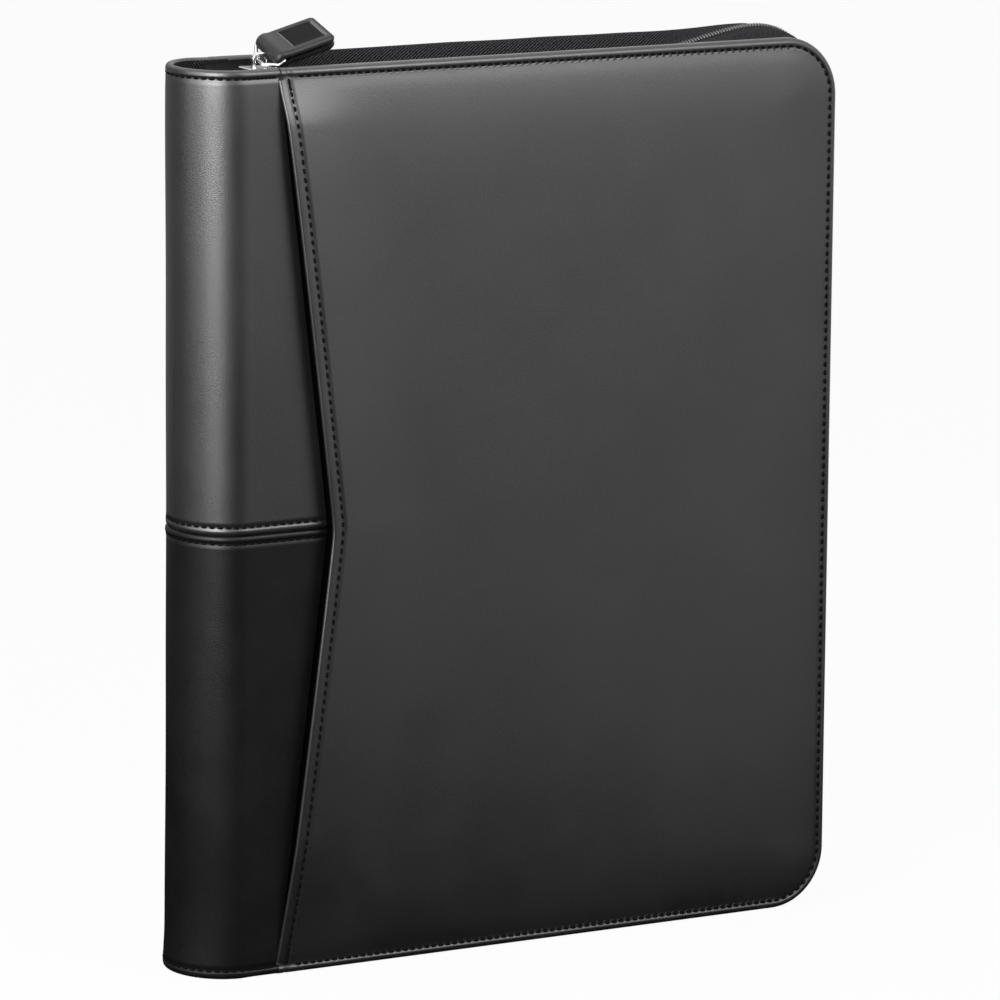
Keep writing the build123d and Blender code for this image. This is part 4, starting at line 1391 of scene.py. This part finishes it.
def make_tab_filler(finish):
    """Filler between the two ends of the strip."""
    bm = bmesh.new()
    bmesh.ops.create_cube(bm, size=1.0)
    bmesh.ops.scale(bm, verts=bm.verts, vec=FILLER)
    bmesh.ops.translate(bm, verts=bm.verts, vec=(FILLER_MIDDLE, 0, 0))
    upright = [e for e in bm.edges if abs(e.verts[0].co.z - e.verts[1].co.z) > FILLER[2] / 2]
    round_edges(bm, upright, FILLER_CORNER, 4)
    round_edges(bm, list(bm.edges), FILLER_ROUND, 2)
    bmesh.ops.transform(bm, matrix=tab_place(), verts=bm.verts)
    piece, _ = add_piece(bm, "tab_filler", finish)
    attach(piece, "tab")


def make_pull_tab(s):
    """Pull tab: a strip of leather folded round the ring, a filler between its ends, and its stitches."""
    finish = leather_material("Pull tab leather", colours().tab, 0.4, 0.48, 0.42, 1500.0)
    make_tab_strip(finish)
    make_tab_filler(finish)
    shape = stitch_shape(s)
    shape.transform(Matrix.Diagonal(TAB_STITCH))
    bm = bmesh.new()
    sewn = even_steps(TAB_NEAR - TAB_STITCH_PAST, TAB_FAR + TAB_STITCH_PAST, TAB_STITCH_STEP)
    for z in (TAB_HALF - TAB_STITCH_IN, TAB_STITCH_IN - TAB_HALF):
        for y in (-TAB_SEAM, TAB_SEAM):
            holes = [Vector((x, y, z)) * MM for x in sewn]
            sew_line(bm, shape, holes, Vector((0, 0, math.copysign(1, z))))
    bmesh.ops.transform(bm, matrix=tab_place(), verts=bm.verts)
    piece, _ = add_piece(bm, "tab_stitches", sewing_thread())
    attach(piece, "tab")
    bpy.data.meshes.remove(shape)


# Lining and inside pockets

SOFT_EDGE = [(0.3, 0.06), (0.5, 0.25), (0.5, 0.5), (0.2, 0.62), (-3.0, 0.65)]
SOFT_SHARE = 0.7
CLOTH_WAVE, CLOTH_WAVES_A_METRE = 0.12 * MM, 22
SEWN_DIP, SEWN_IN, SEWN_WIDE = 0.25 * MM, 3 * MM, 1.2 * MM
HEM_OPEN, HEM_TALL = 0.5 * MM, 9 * MM
CLOTH_TURN = 4 * MM
INNER_STITCH, THREAD_LIFT = 2, 0.05 * MM


def flat_piece(s, name, cut, face_y, out_y, material, body, node, top_hem=False):
    """A flat cut sewn down inside: soft turned edges, and at a pocket's top a hem that stands a little open.
    Returns the function that lays its points."""
    def field(column, row):
        x, z = cut.point(column, row)
        off = min(cut.from_edge(x, z), x - cut.left(z), z - cut.low)
        wave = CLOTH_WAVE * ripple(x, z, CLOTH_WAVES_A_METRE, face_y * 900)
        dip = SEWN_DIP * hump(off - SEWN_IN, SEWN_WIDE)
        lift = HEM_OPEN * ease((z - cut.high + HEM_TALL) / HEM_TALL) if top_hem else 0.0
        return Vector((x, face_y + out_y * (wave - dip + lift), z))

    def edge(column, row, at):
        out = cut.outward(column, row, all_round=True)
        return field(column, row) + out * at[0] * MM - Vector((0, out_y * at[1] * MM, 0))

    bm = laid_grid(len(cut.columns), len(cut.rows), field)
    roll_over(bm, [e for e in bm.edges if e.is_boundary], SOFT_EDGE, edge, wear=0.5)
    piece, area = add_piece(bm, name, material, wall=s.cloth * SOFT_SHARE, inside_out=out_y > 0)
    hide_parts(node)
    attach(piece, body)
    width, tall = cut.right - cut.left(cut.low) + 2 * CLOTH_TURN, cut.high - cut.low + 2 * CLOTH_TURN
    declare_sheet(piece, area, width, tall)
    return field


def inner_stitches(bm, shape, cut, field, out_y, sides):
    """Sews along the chosen sides of a flat piece, a few columns or rows in from its edge."""
    top, last = len(cut.rows) - 1, len(cut.columns) - 1
    lines = {
        "left": [(INNER_STITCH, r) for r in range(top + 1)],
        "right": [(last - INNER_STITCH, r) for r in range(top + 1)],
        "foot": [(c, INNER_STITCH) for c in range(last + 1)],
        "head": [(c, top - INNER_STITCH) for c in range(last + 1)],
    }
    for side in sides:
        sew_line(bm, shape, [field(c, r) for c, r in lines[side]], Vector((0, out_y, 0)), -THREAD_LIFT)


LINING_INSET, LINING_FROM_FOLD, LINING_STEP, LINING_OFF = 9 * MM, 8 * MM, 5 * MM, 0.1 * MM
POCKET_INSET, POCKET_STEP, POCKET_OFF = 3 * MM, 4 * MM, 0.8 * MM
SPINE_BUILD, SPINE_LINING_LAP, SPINE_LINING_INSET, SPINE_LINING_STEP = 3.5 * MM, 12 * MM, 0.8 * MM, 6 * MM
LINING_SWING, SWING_LENGTH, UNDER_COVER = 6 * MM, 9 * MM, 0.3 * MM


def make_lining(s):
    """Lining cloth inside the covers, round the inside of the spine, and inside the front pocket, where it is
    darkened as painted shade.
    """
    cloth = lining_cloth()
    inset, left = LINING_INSET, FOLD_X + LINING_FROM_FOLD
    for place, face_y, out_y in (("front", FRONT_IN, 1), ("back", BACK_IN, -1)):
        cut = Cut(left, FORE_X - inset, inset, HEIGHT - inset, s.corner - inset, LINING_STEP)
        flat_piece(
            s, f"{place}_cover_lining", cut, face_y + out_y * LINING_OFF, out_y, cloth, f"{place}_cover",
            f"{place}_lining")
    low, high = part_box("pocket_lining")
    inset = POCKET_INSET
    cut = Cut(
        lambda z: mouth_x(s, z) - POCKET_INSET, high.x - inset, low.z + inset, high.z - inset,
        s.corner - 2 * inset, POCKET_STEP)
    # The front pocket's lining takes the darkened cloth: painted shade that shows in the gape of its mouth.
    flat_piece(
        s, "front_pocket_lining", cut, WRAP_Y + POCKET_OFF, -1, pocket_cloth_painted_shade(), "front_cover",
        "pocket_lining")
    columns = spine_columns(s, SPINE_LINING_LAP)
    rows = even_steps(SPINE_LINING_INSET, HEIGHT - SPINE_LINING_INSET, SPINE_LINING_STEP)
    for side, place, inner in ((-1, "front", FRONT_IN), (1, "back", BACK_IN)):

        def lay(column, row):
            along = columns[column]
            point, out = spine_wall(along, rows[row], side)
            spot = point - out * SPINE_BUILD
            if along > -LINING_SWING:
                spot.y = lerp(spot.y, inner - side * UNDER_COVER, ease((along + LINING_SWING) / SWING_LENGTH))
            return spot

        bm = laid_grid(len(columns), len(rows), lay)
        piece, area = add_piece(bm, f"spine_{place}_lining", cloth, wall=s.cloth, inside_out=side < 0)
        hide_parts("spine_lining")
        bend(piece, side)
        declare_sheet(piece, area, spine_quarter() + SPINE_LINING_LAP, HEIGHT)


POCKET_SHRINK = 0.5 * MM
ALL_SIDES, HEAD_ONLY = ("left", "right", "foot", "head"), ("head",)


def make_inside_pockets(s):
    """Document pocket, card slots and the pocket for the pad's backing, with hems and sewn sides."""
    skin, thread, shape = pocket_leatherette(), sewing_thread(), stitch_shape(s)
    sewn = {"front_cover": bmesh.new(), "back_cover": bmesh.new()}
    for name, node, body, out_y, under, sides in (
        ("document_pocket_panel", "document_pocket", "front_cover", 1, "front_lining", ALL_SIDES),
        ("card_pocket_back", "card_slot_back", "front_cover", 1, "document_pocket", HEAD_ONLY),
        ("card_pocket_middle", "card_slot_middle", "front_cover", 1, "document_pocket", HEAD_ONLY),
        ("card_pocket_front", "card_slot_front", "front_cover", 1, "document_pocket", ALL_SIDES),
        ("pad_backing_pocket", "pad_pocket", "back_cover", -1, "back_lining", HEAD_ONLY),
    ):
        low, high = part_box(node)
        inset = POCKET_SHRINK
        cut = Cut(low.x + inset, high.x - inset, low.z + inset, high.z - inset, 0.0, s.stitch_pitch / 2)
        face_y = high.y if out_y > 0 else low.y
        field = flat_piece(
            s, name, cut, face_y, out_y, skin, body, node, top_hem=True)
        inner_stitches(sewn[body], shape, cut, field, out_y, sides)
    for name, body in (("front_inside_stitches", "front_cover"), ("back_inside_stitches", "back_cover")):
        piece, _ = add_piece(sewn[body], name, thread)
        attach(piece, body)
    bpy.data.meshes.remove(shape)


# Writing pad and pen loop

RULES_UNDER_HEADER, RULES_ABOVE_FOOT, MARGIN_IN = 8 * MM, 9 * MM, 32 * MM
WEBBING, WEBBING_OFF, WEBBING_RIB, WEBBING_EDGE = 0.7 * MM, 0.45 * MM, 0.06 * MM, 0.2 * MM
LOOP_FROM, LOOP_TO, LOOP_TURN, LOOP_FLAT = (math.radians(a) for a in (70, -250, 10, 138))
LOOP_INSET, LOOP_STEP, LOOP_SEWN = 0.4 * MM, 1.5 * MM, 0.4 * MM


def dress_pad(s):
    """The pad keeps its solids: ruled paper, a grey backing and a cloth tape over its head."""
    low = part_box("pad_sheets")[0]
    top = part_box("pad_header")[0].z - RULES_UNDER_HEADER
    paper = paper_material(
        "Ruled paper", colours().paper, colours().rule, s.rule_pitch, top, low.z + RULES_ABOVE_FOOT,
        low.x + MARGIN_IN)
    dress_node("pad_sheets", paper)
    grey = rgba(colours().board, 1.2)[:3]
    dress_node("pad_backing", speckled_material("Pad backing board", grey, 320.0, 0.85, 0.2))
    binding = cloth_material("Pad binding cloth", colours().binding, 1100.0, 0.0, sheen=0.05, rough=0.7)
    dress_node("pad_header", binding)


def make_pen_loop():
    """Pen loop: elastic webbing round a pen, with its two ends sewn flat to the back lining."""
    webbing = cloth_material(
        "Elastic webbing", colours().elastic, 800.0, 0.0, on_uv=True, sheen=0.2, rough=0.8)
    mount = next(m for m in frame["record"]["mounts"] if m["name"] == "pen_loop_bore")
    centre = Vector(mount["pos_m"])
    radius = mount["dims"]["r_mm"] * MM + WEBBING_OFF
    low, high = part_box("pen_loop")
    spread = even_steps(LOOP_FROM, LOOP_TO, LOOP_TURN)
    heights = even_steps(low.z + LOOP_INSET, high.z - LOOP_INSET, LOOP_STEP)

    def lay(column, row):
        a, z = spread[column], heights[row]
        off = abs(z - centre.z) / (high.z - low.z) * 2
        r = radius + WEBBING_RIB * (column % 2) + WEBBING_EDGE * (off > 0.93)
        spot = Vector((centre.x + r * math.cos(a), centre.y + r * math.sin(a), z))
        if abs(a + math.pi / 2) > LOOP_FLAT:
            spot.y = min(spot.y, BACK_IN - LOOP_SEWN)
        return spot

    bm = laid_grid(len(spread), len(heights), lay)
    unwrap_along(bm, [radius * abs(a - spread[0]) for a in spread], heights)
    piece, area = add_piece(bm, "pen_loop_webbing", webbing, wall=WEBBING, inside_out=True)
    piece.modifiers["Thickness"].offset = 0
    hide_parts("pen_loop")
    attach(piece, "back_cover")
    width = radius * abs(spread[-1] - spread[0])
    declare_sheet(piece, area, width, high.z - low.z)


BOARD_STEP, BOARD_ROW, BOARD_IN, BOARD_THICK = 3 * MM, 8 * MM, 1.6 * MM, 0.9 * MM


def make_hidden_layers():
    """Boards and padding under the leather. The spine's board is drawn in with its leather."""
    board = speckled_material("Binder's board", colours().board, 240.0, 0.9, 0.25)
    for node in ("front_board", "back_board"):
        dress_node(node, board)
    low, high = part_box("spine_board")
    quarter = even_steps(-spine_quarter(), 0, BOARD_STEP)
    round_it = [(a, -1) for a in reversed(quarter)] + [(a, 1) for a in quarter]
    heights = even_steps(low.z, high.z, BOARD_ROW)

    def lay(column, row):
        along, side = round_it[column]
        point, out = spine_wall(along, heights[row], side)
        return point - out * BOARD_IN

    bm = laid_grid(len(round_it), len(heights), lay)
    piece, _ = add_piece(bm, "spine_stiffener", board, wall=BOARD_THICK, inside_out=True)
    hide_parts("spine_board")
    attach(piece, "spine")
    foam = speckled_material("Padding foam", colours().foam, 700.0, 0.95, 0.5)
    for node in ("front_foam", "back_foam"):
        dress_node(node, foam)


# Stage. Places and sizes are in metres, powers in watts.

# Lamps: name, place, aim, size, power, and whether it shows only in gloss
LAMPS = (
    ("Key softbox", (0.2, -0.58, 0.62), (0.0, -0.02, 0.3), (0.42, 0.36), 1.7, False),
    ("Key sheen", (0.204, -0.591, 0.626), (0.0, -0.02, 0.3), (0.42, 0.36), 0.8, True),
    ("Fill softbox", (0.8, -1.28, 0.95), (0.0, 0.0, 0.3), (0.9, 0.9), 2.1, False),
    ("Spine softbox", (-0.83, -0.46, 0.51), (-0.12, -0.01, 0.28), (0.6, 0.6), 6.6, False),
    ("Spine sheen", (-0.85, -0.473, 0.516), (-0.12, -0.01, 0.28), (0.6, 0.6), 5.8, True),
    ("Side softbox", (-0.96, 0.09, 0.53), (-0.12, 0.0, 0.28), (0.5, 0.6), 2.4, False),
    ("Top softbox", (0.0, 0.3, 1.25), (0.0, 0.0, 0.2), (0.9, 0.9), 3.0, False),
)
# Cards: name, place, aim, size and grey tone. The first three lie just above the floor.
CARD_HEIGHT = 0.05 * MM
CARDS = (
    ("Left floor card", (-0.78, -0.36, CARD_HEIGHT), (-0.78, -0.36, 1.0), (1.84, 2.52), 0.0),
    # Painted shadow: this card stands in, in the gloss, for the padfolio's shadow on the floor beside it.
    ("Near floor card", (0.67, -0.03, CARD_HEIGHT), (0.67, -0.03, 1.0), (1.06, 0.26), 0.0),
    ("Far floor card", (0.94, -1.23, CARD_HEIGHT), (0.94, -1.23, 1.0), (1.6, 2.14), 0.38),
    ("Front card", (-0.1, -0.92, 0.2), (-0.1, 0.0, 0.2), (0.62, 0.45), 0.0),
    ("Low card", (-0.246, -0.092, 0.07), (-0.12, -0.01, 0.07), (0.18, 0.14), 0.0),
    ("Rear card", (-0.72, 0.66, 0.35), (-0.12, 0.0, 0.35), (0.9, 0.75), 0.2),
    ("Back card", (-0.02, 0.9, 0.3), (-0.1, 0.0, 0.3), (0.8, 0.65), 0.28),
    ("Side card", (0.93, -0.42, 0.03), (0.13, 0.0, 0.03), (0.45, 0.22), 0.0),
)
WHITE = (1, 1, 1, 1)
FLOOR_GREY, FLOOR_GLOW, FLOOR_HALF, FLOOR_DROP = (0.8, 0.8, 0.8, 1.0), 0.95, 6.0, 0.1 * MM
WORLD_LIGHT = 0.3
CAMERA_PLACE = (-1.2345, -2.1512, 0.6288)
CAMERA_TURN, CAMERA_TILT, CAMERA_ROLL = math.radians(29.893), math.radians(10.641), math.radians(0.514)


def softbox(name, place, aim, size, power, sheen):
    """A rectangular lamp. One for the sheen shows only in the leather's gloss and on the metal."""
    lamp = bpy.data.lights.new(name, "AREA")
    lamp.shape = "RECTANGLE"
    lamp.size, lamp.size_y = size
    lamp.energy = power
    held = add_object(name, lamp)
    held.location = place
    held.rotation_euler = (Vector(aim) - Vector(place)).to_track_quat("-Z", "Y").to_euler()
    held.visible_diffuse = not sheen


def bare_tree(owner):
    """Node tree of a material or world, emptied."""
    owner.use_nodes = True
    owner.node_tree.nodes.clear()
    return owner.node_tree


def seen_ray(tree):
    """1 for rays that see a surface, straight, through glass or mirrored, and 0 for rays that light one."""
    ray = new_node(tree, "ShaderNodeLightPath")
    seen = maths(tree, "MAXIMUM", ray.outputs["Is Camera Ray"], ray.outputs["Is Transmission Ray"])
    return maths(tree, "MAXIMUM", seen, ray.outputs["Is Glossy Ray"])


def make_floor():
    """A pale floor that is seen white and catches a little shadow."""
    bm = bmesh.new()
    bmesh.ops.create_grid(bm, x_segments=2, y_segments=2, size=FLOOR_HALF)
    mesh = to_mesh(bm, "floor")
    mesh.transform(Matrix.Translation((0, 0, -FLOOR_DROP)))
    made = bpy.data.materials.new("Pale floor")
    tree = bare_tree(made)
    matte = new_node(tree, "ShaderNodeBsdfDiffuse", {"Color": FLOOR_GREY})
    white = new_node(tree, "ShaderNodeEmission", {"Color": WHITE, "Strength": 1.0})
    share = maths(tree, "MULTIPLY", seen_ray(tree), FLOOR_GLOW)
    mixed = new_node(tree, "ShaderNodeMixShader", {0: share, 1: matte.outputs[0], 2: white.outputs[0]})
    new_node(tree, "ShaderNodeOutputMaterial", {"Surface": mixed.outputs[0]})
    mesh.materials.append(made)
    floor = add_object("floor", mesh)


def make_world():
    """White where it is seen or mirrored, and soft grey light from all round for the rest."""
    world = bpy.data.worlds.new("Studio")
    bpy.context.scene.world = world
    tree = bare_tree(world)
    strength = fade(tree, seen_ray(tree), 0.0, 1.0, WORLD_LIGHT, 1.0)
    glow = new_node(tree, "ShaderNodeBackground", {"Color": WHITE, "Strength": strength})
    new_node(tree, "ShaderNodeOutputWorld", {"Surface": glow.outputs[0]})


def make_flag(name, place, aim, size, tone):
    """A dark or grey card out of view that glows at its tone and shows only in gloss: a painted reflection, which
    keeps the white surround out of part of the leather's gloss.
    """
    bm = bmesh.new()
    bmesh.ops.create_grid(bm, x_segments=1, y_segments=1, size=0.5)
    bmesh.ops.scale(bm, verts=bm.verts, vec=(size[0], size[1], 1))
    turn = (Vector(aim) - Vector(place)).to_track_quat("Z", "Y").to_matrix().to_4x4()
    bmesh.ops.transform(bm, matrix=Matrix.Translation(place) @ turn, verts=bm.verts)
    mesh = to_mesh(bm, name)
    made = bpy.data.materials.new(name)
    tree = bare_tree(made)
    card = new_node(tree, "ShaderNodeEmission", {"Color": (tone, tone, tone, 1.0), "Strength": 1.0})
    new_node(tree, "ShaderNodeOutputMaterial", {"Surface": card.outputs[0]})
    mesh.materials.append(made)
    flag = add_object(name, mesh)
    flag.visible_camera = False
    flag.visible_diffuse = False
    flag.visible_shadow = False


def make_camera(s):
    """The camera where the photograph was taken from, as fitted to its outline."""
    turn, tilt, roll = CAMERA_TURN, CAMERA_TILT, CAMERA_ROLL
    look = Vector((math.sin(turn) * math.cos(tilt), math.cos(turn) * math.cos(tilt), -math.sin(tilt)))
    right = Vector((math.cos(turn), -math.sin(turn), 0))
    up = right.cross(look)
    across = right * math.cos(roll) + up * math.sin(roll)
    upward = up * math.cos(roll) - right * math.sin(roll)
    view = bpy.data.cameras.new("Camera")
    view.lens = s.lens
    view.sensor_width = 36
    view.sensor_fit = "HORIZONTAL"
    view.clip_end = 50
    camera = add_object("Camera", view)
    camera.matrix_world = stand(CAMERA_PLACE, across, upward, -look)
    bpy.context.scene.camera = camera


def make_stage(s):
    """Camera of the photograph, soft studio light, a pale floor and a white surround."""
    bpy.context.scene.view_settings.view_transform = "Standard"
    make_camera(s)
    make_floor()
    make_world()
    for lamp in LAMPS:
        softbox(*lamp)
    for card in CARDS:
        make_flag(*card)


# Operators, one for each group of pieces

class PADFOLIO_OT_stage(bpy.types.Operator):
    """Set the camera, the lights, the floor and the white surround"""

    bl_idname = "padfolio.stage"
    bl_label = "Stage"

    def execute(self, context):
        make_stage(context.scene.padfolio_sizes)
        return {"FINISHED"}


class PADFOLIO_OT_spine_leather(bpy.types.Operator):
    """Lay the spine leather with its rolled edges and its seam"""

    bl_idname = "padfolio.spine_leather"
    bl_label = "Spine leather"

    def execute(self, context):
        make_spine_leather(context.scene.padfolio_sizes)
        return {"FINISHED"}


class PADFOLIO_OT_pocket_panel(bpy.types.Operator):
    """Lay the front pocket panel with its chevron mouth"""

    bl_idname = "padfolio.pocket_panel"
    bl_label = "Front pocket panel"

    def execute(self, context):
        make_pocket_panel(context.scene.padfolio_sizes)
        return {"FINISHED"}


class PADFOLIO_OT_back_panel(bpy.types.Operator):
    """Lay the back cover's leather"""

    bl_idname = "padfolio.back_panel"
    bl_label = "Back panel"

    def execute(self, context):
        make_back_panel(context.scene.padfolio_sizes)
        return {"FINISHED"}


class PADFOLIO_OT_cover_stitches(bpy.types.Operator):
    """Sew the covers and the spine"""

    bl_idname = "padfolio.cover_stitches"
    bl_label = "Cover stitches"

    def execute(self, context):
        make_cover_stitches(context.scene.padfolio_sizes)
        return {"FINISHED"}


class PADFOLIO_OT_zip_tape(bpy.types.Operator):
    """Lay both halves of the zip's tape"""

    bl_idname = "padfolio.zip_tape"
    bl_label = "Zip tape"

    def execute(self, context):
        make_zip_tape(context.scene.padfolio_sizes)
        return {"FINISHED"}


class PADFOLIO_OT_zip_coil(bpy.types.Operator):
    """Set the teeth of both halves of the coil"""

    bl_idname = "padfolio.zip_coil"
    bl_label = "Zip coil"

    def execute(self, context):
        make_zip_coil(context.scene.padfolio_sizes)
        return {"FINISHED"}


class PADFOLIO_OT_zip_metal(bpy.types.Operator):
    """Plate the slider, the ring and the stops"""

    bl_idname = "padfolio.zip_metal"
    bl_label = "Zip metal"

    def execute(self, context):
        dress_zip_metal()
        return {"FINISHED"}


class PADFOLIO_OT_pull_tab(bpy.types.Operator):
    """Fold and sew the pull tab"""

    bl_idname = "padfolio.pull_tab"
    bl_label = "Pull tab"

    def execute(self, context):
        make_pull_tab(context.scene.padfolio_sizes)
        return {"FINISHED"}


class PADFOLIO_OT_lining(bpy.types.Operator):
    """Line the covers, the spine and the front pocket"""

    bl_idname = "padfolio.lining"
    bl_label = "Lining"

    def execute(self, context):
        make_lining(context.scene.padfolio_sizes)
        return {"FINISHED"}


class PADFOLIO_OT_inside_pockets(bpy.types.Operator):
    """Lay and sew the document pocket, the card slots and the pad's pocket"""

    bl_idname = "padfolio.inside_pockets"
    bl_label = "Inside pockets"

    def execute(self, context):
        make_inside_pockets(context.scene.padfolio_sizes)
        return {"FINISHED"}


class PADFOLIO_OT_pad(bpy.types.Operator):
    """Finish the writing pad"""

    bl_idname = "padfolio.pad"
    bl_label = "Writing pad"

    def execute(self, context):
        dress_pad(context.scene.padfolio_sizes)
        return {"FINISHED"}


class PADFOLIO_OT_pen_loop(bpy.types.Operator):
    """Form the pen loop"""

    bl_idname = "padfolio.pen_loop"
    bl_label = "Pen loop"

    def execute(self, context):
        make_pen_loop()
        return {"FINISHED"}


class PADFOLIO_OT_hidden_layers(bpy.types.Operator):
    """Finish the boards and the padding, and form the spine's board"""

    bl_idname = "padfolio.hidden_layers"
    bl_label = "Boards and padding"

    def execute(self, context):
        make_hidden_layers()
        return {"FINISHED"}


OPERATORS = (
    PADFOLIO_OT_stage, PADFOLIO_OT_spine_leather, PADFOLIO_OT_pocket_panel, PADFOLIO_OT_back_panel,
    PADFOLIO_OT_cover_stitches, PADFOLIO_OT_zip_tape, PADFOLIO_OT_zip_coil, PADFOLIO_OT_zip_metal,
    PADFOLIO_OT_pull_tab, PADFOLIO_OT_lining, PADFOLIO_OT_inside_pockets, PADFOLIO_OT_pad,
    PADFOLIO_OT_pen_loop, PADFOLIO_OT_hidden_layers,
)


class PADFOLIO_PT_pieces(bpy.types.Panel):
    """Lists the pieces of the padfolio with their sizes and colours"""

    bl_idname = "PADFOLIO_PT_pieces"
    bl_label = "Zippered padfolio"
    bl_space_type = "VIEW_3D"
    bl_region_type = "UI"
    bl_category = "Padfolio"

    def draw(self, context):
        column = self.layout.column(align=True)
        for operator in OPERATORS:
            column.operator(operator.bl_idname)
        for group in (context.scene.padfolio_sizes, context.scene.padfolio_colours):
            box = self.layout.box()
            for name in group.__annotations__:
                box.prop(group, name)


CLASSES = (PadfolioSizes, PadfolioColours, *OPERATORS, PADFOLIO_PT_pieces)


def register():
    for kind in CLASSES:
        bpy.utils.register_class(kind)
    bpy.types.Scene.padfolio_sizes = PointerProperty(type=PadfolioSizes)
    bpy.types.Scene.padfolio_colours = PointerProperty(type=PadfolioColours)


def unregister():
    del bpy.types.Scene.padfolio_colours
    del bpy.types.Scene.padfolio_sizes
    for kind in reversed(CLASSES):
        bpy.utils.unregister_class(kind)


def main():
    """Registers the add-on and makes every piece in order."""
    register()
    bpy.ops.padfolio.stage()
    bpy.ops.padfolio.spine_leather()
    bpy.ops.padfolio.pocket_panel()
    bpy.ops.padfolio.back_panel()
    bpy.ops.padfolio.cover_stitches()
    bpy.ops.padfolio.zip_tape()
    bpy.ops.padfolio.zip_coil()
    bpy.ops.padfolio.zip_metal()
    bpy.ops.padfolio.pull_tab()
    bpy.ops.padfolio.lining()
    bpy.ops.padfolio.inside_pockets()
    bpy.ops.padfolio.pad()
    bpy.ops.padfolio.pen_loop()
    bpy.ops.padfolio.hidden_layers()


if __name__ == "__main__":
    main()
